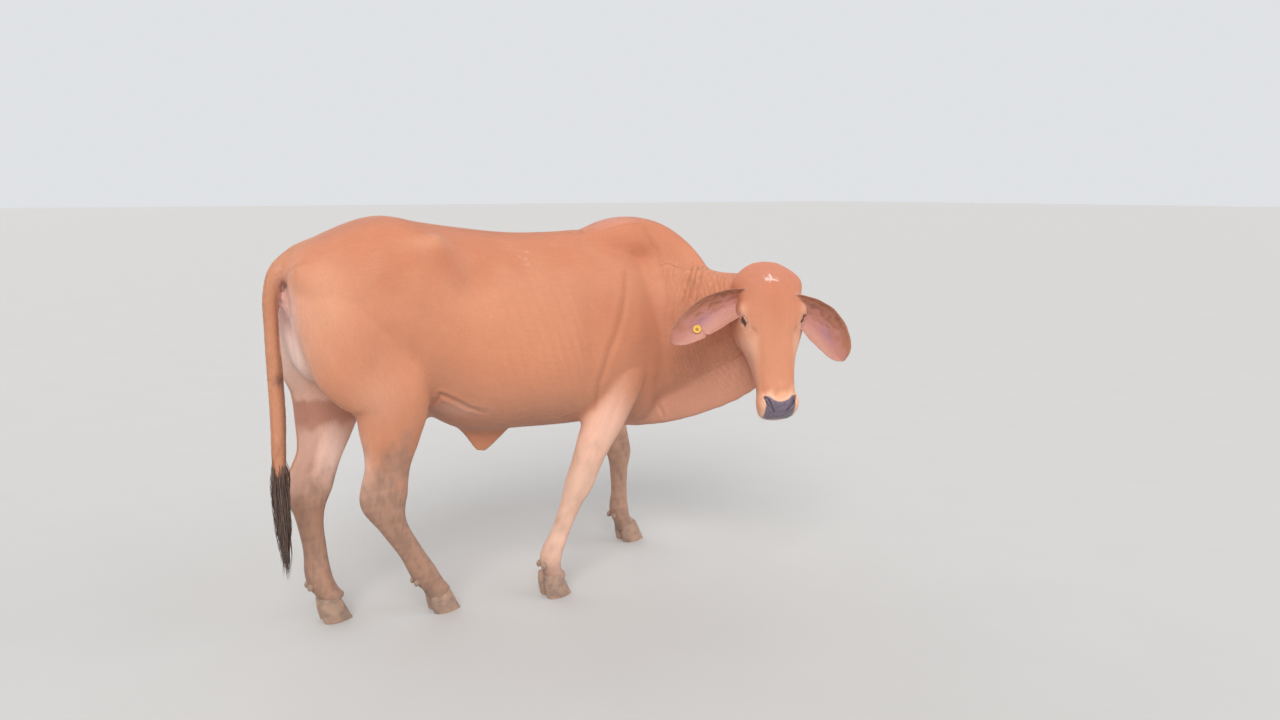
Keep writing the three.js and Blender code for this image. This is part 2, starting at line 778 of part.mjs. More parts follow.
const tail = solid(loft(TAIL, { sides: 10, rings: 20, top: BACK_AND_UP }));
const locks = (grow) => join([...Array(SWITCH.locks).keys()].map((i) => solid(switchLock(i, grow))));
add("tail", tail.subtract(grownBody).subtract(locks(SLACK)), "coat");
add("tail_switch", locks(0), "hair");

for (const foot of feet) {
  const claws = SIDES.map((side) => solid(claw(foot.sole, side)));
  const plane = coronet(foot.sole);
  const shank = upperPart(plane, lowerPart(foot.kneePlane, foot.whole));
  add(`leg_${foot.name}`, shank, "muddy");
  SIDES.forEach((side, i) => {
    const hand = side < 0 ? "right" : "left";
    add(`claw_${foot.name}_${hand}`, lowerPart(plane, claws[i]), "horn");
    const spur = solid(dewclaw(foot.leg.fetlock, side));
    add(`dewclaw_${foot.name}_${hand}`, spur.subtract(foot.grown), "horn");
  });
}

// The floor below the middle of the animal is the origin.
const box = new THREE.Box3().setFromObject(group);
const middle = box.getCenter(new THREE.Vector3());
for (const mesh of group.children) mesh.geometry.translate(-middle.x, -middle.y, -box.min.z);

export default group;
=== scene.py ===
"""Brahman heifer in mid-step: one skin with its coat, and the eyes, hooves and ear tag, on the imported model.

Lengths are in millimetres in the body's own frame, where x is forward, y is her left side and z is up
from the floor under the spine. Meshes are turned into the model's metres where they are made.
"""
import math

import bmesh
import bpy
import numpy as np
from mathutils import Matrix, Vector
from mathutils.bvhtree import BVHTree
from mathutils.kdtree import KDTree


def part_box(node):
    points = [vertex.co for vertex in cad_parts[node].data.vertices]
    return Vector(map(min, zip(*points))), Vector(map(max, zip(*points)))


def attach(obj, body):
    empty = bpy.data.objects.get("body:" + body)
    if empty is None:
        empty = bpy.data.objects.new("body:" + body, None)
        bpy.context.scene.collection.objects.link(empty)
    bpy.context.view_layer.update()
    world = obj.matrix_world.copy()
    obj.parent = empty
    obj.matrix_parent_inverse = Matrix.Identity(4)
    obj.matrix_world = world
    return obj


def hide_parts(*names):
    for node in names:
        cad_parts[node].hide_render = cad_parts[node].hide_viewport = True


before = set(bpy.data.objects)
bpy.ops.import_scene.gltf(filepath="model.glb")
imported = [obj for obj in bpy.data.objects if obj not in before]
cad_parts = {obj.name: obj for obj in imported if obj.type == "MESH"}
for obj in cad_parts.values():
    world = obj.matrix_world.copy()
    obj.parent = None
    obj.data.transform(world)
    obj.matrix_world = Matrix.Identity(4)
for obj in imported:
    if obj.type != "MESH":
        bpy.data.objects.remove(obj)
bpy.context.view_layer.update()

UP = np.array([0.0, 0.0, 1.0])
FORWARD = np.array([1.0, 0.0, 0.0])
SIDES = (-1, 1)
HANDS = {-1: "right", 1: "left"}

# How far the skin lies inside the solids, for the coat to lie on.
COAT_DEPTH = 2.0
FACE_COAT_DEPTH = 1.2

# Voxels of the body's and the head's skin, and tufts of the coat a square centimetre.
BODY_VOXEL = 6.2
HEAD_VOXEL = 3.0
TUFT_DENSITY = 3.3


def unit(v):
    v = np.asarray(v, float)
    return v / np.maximum(np.linalg.norm(v, axis=-1, keepdims=True), 1e-9)


def ramp(value, low, high):
    """0 below low, 1 above high, and a smooth rise between."""
    t = np.clip((np.asarray(value, float) - low) / (high - low), 0, 1)
    return t * t * (3 - 2 * t)


def bell(value, at, width):
    """1 where the value is at, falling off to both sides over the width."""
    return np.exp(-(((value - at) / width) ** 2))


# Place of the head: level in its own frame, with the nose along +X, then turned to the right and dropped

HEAD_AT = np.array([811.0, -436.0, 1150.0])
HEAD_HEADING = math.radians(-112)
NOSE_DROP = math.radians(68)
HEADING = np.array([math.cos(HEAD_HEADING), math.sin(HEAD_HEADING), 0.0])
NOSE = HEADING * math.cos(NOSE_DROP) - UP * math.sin(NOSE_DROP)
HEAD_LEFT = np.cross(UP, HEADING)
BROW = np.cross(NOSE, HEAD_LEFT)
HEAD_AXES = np.array([NOSE, HEAD_LEFT, BROW])

# The left eye in the head's frame, its radius and the thickness of its lids
EYE_AT = np.array([195.0, 93.0, 41.0])
EYE_RADIUS = 20.0
LID = 4.5


def from_head(points):
    return np.asarray(points, float) @ HEAD_AXES + HEAD_AT


def to_head(points):
    return (np.asarray(points, float) - HEAD_AT) @ HEAD_AXES.T


def body_shift():
    """Where the body's own frame starts in the model's metres, from the place of an eye in both."""
    low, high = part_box("eye_left")
    return (np.array(low) + np.array(high)) / 2 - from_head(EYE_AT) / 1000


SHIFT = body_shift()


def to_model(points):
    return np.asarray(points, float) / 1000 + SHIFT


def to_body(points):
    return (np.asarray(points, float) - SHIFT) * 1000


# Meshes

def add_object(name, data):
    obj = bpy.data.objects.new(name, data)
    bpy.context.scene.collection.objects.link(obj)
    return obj


def make(name, points, faces, material=None):
    """A new object from points in the body's frame and a list of faces."""
    mesh = bpy.data.meshes.new(name)
    mesh.from_pydata(to_model(points).tolist(), [], faces)
    mesh.update()
    if material:
        mesh.materials.append(material)
    return add_object(name, mesh)


def read_array(items, field, each, kind):
    """A field of every vertex, edge, corner or face of a mesh, in rows of so many values."""
    flat = np.empty(len(items) * each, kind)
    items.foreach_get(field, flat)
    return flat.reshape(-1, each)


def points_of(mesh):
    return to_body(read_array(mesh.vertices, "co", 3, np.float32))


def set_attribute(mesh, name, kind, values):
    """Stores a value of each point on the mesh."""
    field = {"FLOAT": "value", "FLOAT_VECTOR": "vector", "FLOAT_COLOR": "color"}[kind]
    made = mesh.attributes.new(name, kind, "POINT")
    made.data.foreach_set(field, np.ascontiguousarray(values, np.float32).ravel())


def with_alpha(colour):
    return np.concatenate([colour, np.ones((*colour.shape[:-1], 1))], -1)


def set_points(mesh, points):
    mesh.vertices.foreach_set("co", to_model(points).astype(np.float32).ravel())
    mesh.update()


def normals_of(mesh):
    return read_array(mesh.vertex_normals, "vector", 3, np.float32).astype(float)


def edges_of(mesh):
    return read_array(mesh.edges, "vertices", 2, np.int32)


def triangles_of(mesh):
    mesh.calc_loop_triangles()
    return read_array(mesh.loop_triangles, "vertices", 3, np.int32)


def nearest_tree(points):
    tree = KDTree(len(points))
    for i, at in enumerate(points.tolist()):
        tree.insert(at, i)
    tree.balance()
    return tree


def apply_modifiers(obj):
    """The object's mesh as its modifiers leave it."""
    graph = bpy.context.evaluated_depsgraph_get()
    mesh = bpy.data.meshes.new_from_object(obj.evaluated_get(graph))
    obj.modifiers.clear()
    old = obj.data
    obj.data = mesh
    bpy.data.meshes.remove(old)
    return obj


def join(objects, name):
    """One object that holds the meshes of all of them."""
    points, faces, start = [], [], 0
    for obj in objects:
        points.append(points_of(obj.data))
        faces += [[v + start for v in face.vertices] for face in obj.data.polygons]
        start += len(obj.data.vertices)
        bpy.data.objects.remove(obj)
    return make(name, np.concatenate(points), faces)


def remesh(obj, voxel):
    modifier = obj.modifiers.new("Remesh", "REMESH")
    modifier.mode = "VOXEL"
    modifier.voxel_size = voxel / 1000
    return apply_modifiers(obj)


def unite(obj, others):
    """Joins closed meshes to obj as one closed mesh."""
    for other in others:
        modifier = obj.modifiers.new("Join", "BOOLEAN")
        modifier.operation = "UNION"
        modifier.solver = "MANIFOLD"
        modifier.object = other
    apply_modifiers(obj)
    for other in others:
        bpy.data.objects.remove(other)
    return obj


def relax(points, edges, weight, times):
    """Moves each point towards the middle of its neighbours, by its weight from 0 to 1, several times."""
    moving = weight > 1e-3
    edges = edges[moving[edges[:, 0]] | moving[edges[:, 1]]]
    count = np.maximum(np.bincount(edges.ravel(), minlength=len(points)), 1)
    first, second = edges.T
    share = (weight * 0.6)[moving, None]
    for _ in range(times):
        total = [
            np.bincount(first, values[second], len(points)) + np.bincount(second, values[first], len(points))
            for values in points.T
        ]
        middle = np.stack(total, 1)[moving] / count[moving, None]
        points[moving] += (middle - points[moving]) * share
    return points


# Forms made of rows of cross-sections

def stops_of(places):
    """How far along a line each of its places lies."""
    return np.concatenate([[0], np.cumsum(np.linalg.norm(np.diff(places, axis=0), axis=1))])


def course(rows):
    """A smooth course through rows whose first three numbers are a place, read by shares of its length."""
    rows = np.asarray(rows, float)
    stops = stops_of(rows[:, :3])
    last = len(rows) - 1

    def read(share):
        where = np.clip(np.asarray(share, float), 0, 1) * stops[-1]
        i1 = np.clip(np.searchsorted(stops, where, side="right"), 1, last)
        i0 = i1 - 1
        before = np.where(i0 > 0, i0 - 1, i1)
        after = np.where(i1 < last, i1 + 1, i0)
        half = (stops[i1] - stops[i0]) / 2
        wb = half / (stops[i0] - stops[before])
        wa = half / (stops[after] - stops[i1])
        p = (where - stops[i0]) / (2 * half)
        p2 = p * p
        p3 = p2 * p
        parts = (
            (before, -wb * p3 + 2 * wb * p2 - wb * p),
            (i0, (1 + wb) * p3 + (-1.5 - 2 * wb) * p2 + (-0.5 + wb) * p + 1),
            (i1, (-1 - wa) * p3 + (1.5 + wa) * p2 + 0.5 * p),
            (after, wa * p3 - wa * p2),
        )
        return sum(rows[i] * share_of[..., None] for i, share_of in parts)

    return read


def line_frames(read, share, top, axis=None):
    """Place, way along, lift and left of a course at shares of its length."""
    step = 1e-3
    row = read(share)
    if axis is None:
        along = unit(read(np.minimum(1, share + step))[..., :3] - read(np.maximum(0, share - step))[..., :3])
    else:
        along = np.broadcast_to(axis, row[..., :3].shape)
    lift = unit(top - along * (along @ top)[..., None])
    return row, along, lift, np.cross(lift, along)


def tube_faces(rings, sides):
    """Quads of a closed tube and fans to a centre point at each of its ends, which come last."""
    ring = np.arange(rings)[:, None] * sides
    side = np.arange(sides)[None, :]
    turn = (side + 1) % sides
    quads = np.stack([ring + side, ring + sides + side, ring + sides + turn, ring + turn], -1).reshape(-1, 4)
    start, end = (rings + 1) * sides, (rings + 1) * sides + 1
    side, turn = side[0], turn[0]
    first = np.stack([np.full(sides, start), side, turn], -1)
    last = np.stack([np.full(sides, end), rings * sides + turn, rings * sides + side], -1)
    return quads.tolist() + first.tolist() + last.tolist()


def power(value, exponent):
    return np.sign(value) * np.abs(value) ** exponent


def loft(rows, sides, rings, top=UP, axis=None, grow=-COAT_DEPTH):
    """Points and faces of a form through rows of place, above, below, left, right, square up and down."""
    share = np.linspace(0, 1, rings + 1)
    row, along, lift, left = line_frames(course(rows), share, top, axis)
    angle = np.arange(sides) * 2 * math.pi / sides
    x, z = np.sin(angle)[None], np.cos(angle)[None]
    place, above, below, to_left, to_right, square_up, square_down = (
        row[:, :3],
        *(row[:, k, None] for k in range(3, 9)),
    )
    square = np.where(z >= 0, square_up, square_down)
    high = power(z, 2 / square) * (np.where(z >= 0, above, below) + grow)
    wide = power(x, 2 / square) * (np.where(x >= 0, to_left, to_right) + grow)
    ends = place.copy()
    ends[0] -= along[0] * grow
    ends[-1] += along[-1] * grow
    points = ends[:, None] + lift[:, None] * high[..., None] + left[:, None] * wide[..., None]
    points = np.concatenate([points.reshape(-1, 3), ends[[0, -1]]])
    return points, tube_faces(rings, sides)


def mirrored(line, side):
    """A place, or several, on the left for side 1 and at its image on the right for side -1."""
    return np.asarray(line, float) * (1, side, 1)


def near(points, at, reach):
    """1 at a place, fading out over the reach."""
    return np.exp(-(((points - np.asarray(at, float)) / np.asarray(reach, float)) ** 2).sum(1))


def near_both(points, at, reach):
    return sum(near(points, mirrored(at, side), reach) for side in SIDES)


def swell(points, at, reach, by):
    """Pushes what lies near a place, fading out over its reach, as a bone or muscle does."""
    points += near(points, at, reach)[:, None] * np.array(by, float)


def swellings(points, table):
    """Every swelling of a table of place, reach and push, on both sides of the middle."""
    for at, reach, by in table:
        for side in SIDES:
            swell(points, mirrored(at, side), reach, mirrored(by, side))


# Torso, hump, neck and dewlap

def torso_row(x, spine, belly, widest, half, square_up, square_down):
    return (x, 0, widest, spine - widest, widest - belly, half, half, square_up, square_down)


TORSO = [
    torso_row(-724, 1182, 960, 1100, 80, 2.4, 2),
    torso_row(-695, 1232, 880, 1085, 136, 2.4, 2),
    torso_row(-600, 1284, 800, 1050, 188, 2.4, 2),
    torso_row(-415, 1341, 740, 1060, 222, 2.6, 2),
    torso_row(-300, 1322, 690, 1040, 232, 2.7, 2),
    torso_row(-150, 1300, 612, 930, 246, 2.1, 2.1),
    torso_row(40, 1279, 598, 880, 262, 1.9, 2.2),
    torso_row(200, 1277, 588, 860, 250, 1.8, 2.2),
    torso_row(340, 1280, 580, 850, 222, 1.7, 2.1),
    torso_row(470, 1255, 560, 850, 200, 1.7, 2),
    torso_row(580, 1190, 545, 850, 158, 1.8, 2),
    torso_row(640, 1060, 600, 840, 96, 2, 2),
]

# Hook bones, pin bones, flank hollows, shoulder blades, the hollow behind them and the shoulders' points
TORSO_BONES = [
    ((-305, 205, 1250), (52, 60, 48), (0, 20, 16)),
    ((-715, 110, 1150), (45, 45, 55), (-8, 14, 10)),
    ((-185, 230, 1120), (85, 90, 80), (0, -30, -6)),
    ((400, 190, 1060), (120, 90, 170), (0, 26, 6)),
    ((245, 240, 960), (55, 90, 170), (0, -16, 0)),
    ((560, 150, 880), (75, 70, 95), (6, 14, 0)),
]
# The groove between the pin bones, as place, reach and push, and the form at its top, as place and size
PERINEAL_GROOVE = ((-724, 0, 1060), (50, 50, 130), (30, 0, 0))
VULVA = ((-690, 0, 1075), (34, 44, 62))


def even_row(at, above, below, half, square_up=2, square_down=2):
    return (*at, above, below, half, half, square_up, square_down)


HUMP = [
    even_row(at, above, 90, half, 2.1)
    for at, above, half in (
        ((270, 0, 1190), 70, 60),
        ((350, 0, 1205), 80, 84),
        ((440, 0, 1215), 101, 96),
        ((530, -8, 1218), 107, 96),
        ((600, -30, 1196), 114, 88),
        ((655, -75, 1146), 116, 78),
        ((700, -135, 1080), 108, 66),
        ((735, -195, 1030), 90, 54),
    )
]

NECK = [
    even_row((430, 0, 960), 250, 320, 150, 1.9),
    even_row((590, -50, 950), 255, 330, 138, 1.9),
    even_row((690, -160, 962), 205, 260, 116, 1.9),
    even_row((755, -280, 992), 152, 205, 98, 1.9),
    even_row((795, -375, 1035), 100, 165, 90, 1.9),
    even_row((815, -440, 1062), 66, 120, 80, 1.9),
]

DEWLAP = [
    even_row((470, 0, 650), 120, 108, 66, 2, 1.7),
    even_row((560, -8, 650), 130, 128, 56, 2, 1.7),
    even_row((632, -80, 680), 140, 144, 42, 2, 1.6),
    even_row((690, -172, 722), 140, 150, 34, 2, 1.5),
    even_row((735, -262, 765), 140, 148, 30, 2, 1.5),
    even_row((775, -355, 815), 130, 138, 27, 2, 1.5),
    even_row((800, -415, 855), 110, 116, 24, 2, 1.5),
    even_row((812, -455, 890), 70, 70, 20, 2, 1.5),
]

# Tail, navel flap, udder

BACK_AND_UP = unit([-1, 0, 1])

TAIL = [
    even_row(at, thick, thick, wide)
    for at, thick, wide in (
        ((-600, 0, 1248), 34, 46),
        ((-672, 0, 1222), 34, 42),
        ((-729, 0, 1176), 30, 34),
        ((-754, 0, 1106), 26, 28),
        ((-758, 0, 1020), 24, 25),
        ((-757, 0, 880), 25, 26),
        ((-756, 0, 740), 25, 26),
        ((-761, 0, 600), 23, 24),
        ((-764, 0, 520), 18, 20),
        ((-764, 0, 440), 12, 14),
    )
]

NAVEL_FLAP = [
    even_row(at, fore, aft, half, 1.8, 1.8)
    for at, fore, aft, half in (
        ((-60, 0, 650), 120, 120, 30),
        ((-66, 0, 600), 96, 108, 24),
        ((-74, 0, 560), 60, 72, 17),
        ((-80, 0, 534), 38, 42, 12),
        ((-84, 0, 514), 22, 22, 8),
    )
]

UDDER_AT = np.array([-345.0, 0.0, 690.0])
UDDER_SIZE = np.array([78.0, 62.0, 52.0])
TEAT_SIZE = np.array([9.0, 9.0, 26.0])

# Legs: the joints of each, the feet set down in a walk with the right hind one far forward

HIND_LEGS = {
    "right": {
        "croup": (-560, -92, 1185),
        "rump": (-545, -112, 1060),
        "thigh": (-535, -128, 920),
        "stifle": (-455, -140, 780),
        "gaskin": (-452, -138, 655),
        "shin": (-462, -130, 560),
        "hock": (-474, -122, 452),
        "cannon_top": (-446, -108, 362),
        "cannon": (-384, -86, 250),
        "fetlock": (-324, -58, 146),
        "pastern": (-296, -48, 104),
        "coronet": (-272, -42, 62),
    },
    "left": {
        "croup": (-560, 92, 1185),
        "rump": (-560, 112, 1060),
        "thigh": (-572, 128, 920),
        "stifle": (-560, 140, 780),
        "gaskin": (-576, 138, 655),
        "shin": (-602, 130, 560),
        "hock": (-642, 124, 452),
        "cannon_top": (-646, 116, 362),
        "cannon": (-638, 108, 250),
        "fetlock": (-630, 100, 146),
        "pastern": (-612, 96, 104),
        "coronet": (-590, 94, 62),
    },
}

# Reach before and behind the joint, to the outer and to the inner side, and how square it is
HIND_SIZES = {
    "croup": (100, 158, 66, 50, 1.8),
    "rump": (176, 180, 92, 70, 1.8),
    "thigh": (200, 158, 98, 92, 1.8),
    "stifle": (140, 122, 84, 78, 2.1),
    "gaskin": (98, 98, 62, 56, 2.1),
    "shin": (74, 76, 45, 44, 2.1),
    "hock": (74, 78, 43, 42, 2.4),
    "cannon_top": (46, 50, 36, 36, 2.1),
    "cannon": (38, 40, 32, 32, 2.1),
    "fetlock": (42, 46, 42, 42, 2.1),
    "pastern": (38, 42, 40, 40, 2.1),
    "coronet": (46, 46, 46, 46, 2.1),
}

FORELEGS = {
    "right": {
        "shoulder": (455, -90, 1000),
        "elbow": (400, -132, 790),
        "forearm": (346, -150, 650),
        "shin": (275, -152, 500),
        "knee": (217, -150, 382),
        "cannon_top": (186, -149, 312),
        "cannon": (146, -148, 220),
        "fetlock": (108, -147, 138),
        "pastern": (112, -146, 98),
        "coronet": (122, -146, 58),
    },
    "left": {
        "shoulder": (470, 90, 1000),
        "elbow": (490, 132, 790),
        "forearm": (524, 148, 650),
        "shin": (562, 156, 500),
        "knee": (590, 160, 382),
        "cannon_top": (596, 164, 312),
        "cannon": (600, 168, 220),
        "fetlock": (602, 172, 138),
        "pastern": (616, 175, 98),
        "coronet": (636, 178, 60),
    },
}

FORE_SIZES = {
    "shoulder": (70, 80, 36, 40, 2.1),
    "elbow": (116, 104, 80, 60, 2.1),
    "forearm": (88, 94, 60, 56, 2.1),
    "shin": (58, 68, 46, 44, 2.1),
    "knee": (48, 47, 44, 42, 2.4),
    "cannon_top": (36, 40, 34, 34, 2.1),
    "cannon": (30, 36, 30, 30, 2.1),
    "fetlock": (36, 42, 40, 40, 2.1),
    "pastern": (34, 38, 38, 38, 2.1),
    "coronet": (44, 44, 46, 46, 2.1),
}


def leg_rows(joints, sizes, side):
    """Rows of a leg, whose upper side faces forward."""
    rows = []
    for name, at in joints.items():
        fore, aft, outer, inner, square = sizes[name]
        left, right = (outer, inner) if side > 0 else (inner, outer)
        rows.append((*at, fore, aft, left, right, square, square))
    return rows


LEGS = {
    f"{end}_{HANDS[side]}": leg_rows(joints[HANDS[side]], sizes, side)
    for end, joints, sizes in (("hind", HIND_LEGS, HIND_SIZES), ("fore", FORELEGS, FORE_SIZES))
    for side in SIDES
}

# Head

def head_row(x, z, above, below, half, square_up, square_down):
    return (x, 0, z, above, below, half, half, square_up, square_down)


HEAD = [
    head_row(-16, 26, 10, 24, 22, 2, 2),
    head_row(-7, 18, 24, 52, 52, 2, 2),
    head_row(14, 8, 47, 80, 88, 2, 2),
    head_row(50, 2, 74, 96, 114, 2.2, 1.9),
    head_row(100, 0, 84, 108, 121, 2.4, 1.9),
    head_row(160, 0, 84, 118, 124, 2.6, 2),
    head_row(210, 0, 79, 124, 119, 2.6, 2.1),
    head_row(262, 0, 70, 116, 106, 2.5, 2.1),
    head_row(330, 0, 60, 92, 87, 2.4, 2),
    head_row(400, 0, 52, 70, 70, 2.4, 2),
    head_row(445, 0, 50, 60, 66, 2.5, 2.1),
    head_row(480, 0, 48, 58, 71, 2.5, 2.2),
    head_row(508, -6, 38, 50, 69, 2.4, 2.2),
    head_row(526, -14, 24, 38, 57, 2.3, 2.2),
    head_row(536, -18, 10, 22, 36, 2, 2),
]

# Brow ridges, orbits, cheeks, the hollow before them and nostril wings
HEAD_BONES = [
    ((170, 104, 58), (46, 30, 32), (0, 10, 7)),
    ((236, 102, 6), (44, 30, 30), (0, 4, 0)),
    ((230, 88, -80), (75, 40, 45), (0, 8, -4)),
    ((330, 78, 0), (50, 30, 40), (0, -7, 0)),
    ((488, 58, 20), (26, 22, 22), (2, 5, 6)),
]
# The left side of the poll and its orbit, and the chin
HEAD_MIDDLE = [
    ((62, 110, 25), (58, 60, 60), (0, 15, 2)),
    ((176, 114, 40), (38, 36, 44), (0, 8, 0)),
    ((505, 0, -56), (30, 40, 20), (2, 0, -9)),
]


def ball(at, size, sides=24):
    """Points and faces of a ball stretched to three radii."""
    angle = np.linspace(0, math.pi, sides // 2 + 1)[1:-1]
    turn = np.arange(sides) * 2 * math.pi / sides
    ring = np.stack(
        [
            np.outer(np.sin(angle), np.cos(turn)),
            np.outer(np.sin(angle), np.sin(turn)),
            np.outer(np.cos(angle), np.ones(sides)),
        ],
        -1,
    ).reshape(-1, 3)
    points = np.concatenate([ring, [[0, 0, 1], [0, 0, -1]]]) * size + at
    return points, [face[::-1] for face in tube_faces(len(angle) - 1, sides)]


# Ears: thin leaves with a hollow face

EARS = {
    -1: {
        "face": np.array([-0.42, -0.86, 0.1]),
        "rows": [
            (752, -470, 1052, 24, 10, 6),
            (707, -463, 1048, 36, 8, 26),
            (659, -447, 1035, 51, 5, 40),
            (606, -420, 1009, 60, 4.5, 34),
            (556, -394, 972, 58, 4, 24),
            (516, -370, 936, 46, 3.6, 14),
            (492, -354, 908, 24, 3, 5),
            (484, -348, 896, 4, 2, 0),
        ],
    },
    1: {
        "face": np.array([-0.62, -0.76, 0.2]),
        "rows": [
            (832, -544, 1037, 36, 10, 6),
            (872, -559, 1015, 50, 8, 30),
            (911, -575, 987, 63, 5, 42),
            (951, -592, 952, 67, 4.5, 34),
            (989, -606, 910, 60, 4, 24),
            (1018, -614, 866, 46, 3.6, 14),
            (1036, -618, 834, 24, 3, 5),
            (1043, -620, 822, 4, 2, 0),
        ],
    },
}
EAR_COAT_DEPTH = 0.8

# The nick in the lower edge of the right ear: its share of the length, width and depth
NICK_SHARE = 0.66
NICK_WIDTH = 0.016
NICK_DEPTH = 0.15


def ear_frames(side, share):
    """Row, way along, hollow side and across of an ear at shares of its length."""
    read = course(EARS[side]["rows"])
    row, along, front, _ = line_frames(read, share, EARS[side]["face"])
    return row, along, front, np.cross(front, along)


def ear(side, sides=56, rings=110):
    """An ear with rolled edges, the ribs of its gristle inside, and a nick in the tagged one."""
    share = np.linspace(0, 1, rings + 1)
    row, _, front, across = ear_frames(side, share)
    angle = np.arange(sides) * 2 * math.pi / sides
    x, z = np.sin(angle)[None], np.cos(angle)[None]
    half, thick, cup = (row[:, k, None] for k in (3, 4, 5))
    edge = ramp(np.abs(x), 0.82, 1.0)
    wave = 1 + 0.012 * np.sin(share * 31 + side)[:, None] * np.abs(x)
    deep = cup * x * x + (thick - EAR_COAT_DEPTH) * z * (1 + 0.25 * edge)
    ribs = sum(bell(x, at, 0.07) for at in (-0.42, -0.08, 0.3))
    rib_height = 1.6 * ramp(share, 0.05, 0.3) * (1 - ramp(share, 0.5, 0.85))
    deep = deep + np.where(z > 0, ribs * rib_height[:, None], 0)
    roll = 5 * edge * ramp(share, 0.02, 0.12)[:, None] * (1 - ramp(share, 0.45, 0.8))[:, None]
    reach = x * half * wave
    if side < 0:
        nick = bell(share, NICK_SHARE, NICK_WIDTH)[:, None]
        reach = reach * (1 - NICK_DEPTH * nick * ramp(-x * np.sign(across[:, 2, None]), 0.3, 0.9))
    points = (
        row[:, None, :3]
        + across[:, None] * reach[..., None]
        + front[:, None] * (deep + roll)[..., None]
    )
    ends = row[[0, -1], :3]
    return np.concatenate([points.reshape(-1, 3), ends]), tube_faces(rings, sides)


# Skin of the trunk and legs

def body_parts():
    """Every form of the trunk, neck, tail and legs, each as points and faces."""
    torso, torso_faces = loft(TORSO, 140, 220, axis=FORWARD)
    swellings(torso, TORSO_BONES)
    swell(torso, *PERINEAL_GROOVE)
    parts = [
        (torso, torso_faces),
        loft(HUMP, 90, 70),
        loft(NECK, 120, 90),
        loft(DEWLAP, 80, 100),
        loft(TAIL, 40, 140, top=BACK_AND_UP),
        loft(NAVEL_FLAP, 60, 50, top=FORWARD),
        ball(UDDER_AT, UDDER_SIZE - COAT_DEPTH, 48),
        ball(*VULVA, 40),
    ]
    for rows in LEGS.values():
        parts.append(loft(rows, 60, 160, top=FORWARD))
    for x in (-30, 30):
        for y in (-22, 22):
            parts.append(ball(UDDER_AT + (x, y, -50), TEAT_SIZE, 20))
    return parts


def crease_distance(mesh, points, edges, sharp, most):
    """How far each point is from a bend of the mesh sharper than an angle, along its edges, up to most."""
    corner_vertex = read_array(mesh.loops, "vertex_index", 1, np.int32)[:, 0]
    corners = read_array(mesh.polygons, "loop_total", 1, np.int32)[:, 0]
    corner_normal = np.repeat(read_array(mesh.polygons, "normal", 3, np.float32), corners, axis=0)
    turn = (corner_normal * normals_of(mesh)[corner_vertex]).sum(1)
    least = np.ones(len(points))
    np.minimum.at(least, corner_vertex, turn)
    far = np.where(least < math.cos(sharp), 0.0, most)
    length = np.linalg.norm(points[edges[:, 0]] - points[edges[:, 1]], axis=1)
    for _ in range(int(most / np.median(length)) + 2):
        reach = far[edges[:, ::-1]] + length[:, None]
        np.minimum.at(far, edges.ravel(), reach.ravel())
    return far


def body_skin():
    parts = [make("part", points, faces) for points, faces in body_parts()]
    body = remesh(join(parts, "body"), BODY_VOXEL)
    points = points_of(body.data)
    edges = edges_of(body.data)
    # Only the trunk and the roots of the legs have lines to fill; feet and tail stay as they are.
    far = crease_distance(body.data, points, edges, sharp=0.22, most=70.0)
    high = ramp(points[:, 2], 150, 620)
    tail = 1 - ramp(-points[:, 0], 720, 745)
    weight = (1 - ramp(far, 20, 60)) * (0.12 + 0.88 * high) * tail
    relax(points, edges, weight, 30)
    relax(points, edges, 0.25 + 0.5 * high * tail, 3)
    set_points(body.data, points)
    return body


# Skin of the head, shaped in its own frame

def refine(obj, chosen):
    """Halves every edge whose two ends are chosen."""
    mesh = bmesh.new()
    mesh.from_mesh(obj.data)
    picked = chosen(points_of(obj.data))
    edges = [e for e in mesh.edges if picked[e.verts[0].index] and picked[e.verts[1].index]]
    bmesh.ops.subdivide_edges(mesh, edges=edges, cuts=1, use_grid_fill=True)
    mesh.to_mesh(obj.data)
    mesh.free()
    obj.data.update()


def line_distance(points, line):
    """How far each point is from a line through a few places, and its share of the line's length."""
    line = np.asarray(line, float)
    best = np.full(len(points), 1e9)
    share = np.zeros(len(points))
    lengths = np.linalg.norm(np.diff(line, axis=0), axis=1)
    stops = np.concatenate([[0], np.cumsum(lengths)])
    for start, end, at, length in zip(line[:-1], line[1:], stops, lengths):
        t = np.clip(((points - start) @ (end - start)) / length**2, 0, 1)
        far = np.linalg.norm(points - start - t[:, None] * (end - start), axis=1)
        nearer = far < best
        best[nearer] = far[nearer]
        share[nearer] = (at + t[nearer] * length) / stops[-1]
    return best, share


def within(points, line, margin):
    """Which points lie in the box round a line, made larger by a margin."""
    return (points > line.min(0) - margin).all(1) & (points < line.max(0) + margin).all(1)


def crease(points, normals, line, depth, width, bank=0.0):
    """Presses a groove of that depth along a line, fading at its ends, with raised banks beside it."""
    line = np.asarray(line, float)
    box = within(points, line, 6 * width)
    far, share = line_distance(points[box], line)
    fade = np.sqrt(np.clip(np.sin(np.clip(share, 0.02, 0.98) * math.pi), 0, 1))
    push = -depth * bell(far, 0, width) + bank * bell(far, 1.8 * width, width)
    points[box] += normals[box] * (push * fade)[:, None]


def eye_frame(side):
    """Centre of an eye in the head's frame, the way it looks, the way to its inner corner, and up."""
    look = unit([0.45, side * 0.72, 0.53])
    inward = np.array([0.88, side * -0.42, -0.02])
    inward = unit(inward - (inward @ look) * look)
    up = np.cross(look, inward)
    return mirrored(EYE_AT, side), look, inward, up * np.sign(up[2])


# Half the length of the eye's opening, and its reach above and below its bent middle line
LID_LENGTH = 20.5
LID_OPEN_UP = 4.6
LID_OPEN_DOWN = 4.4
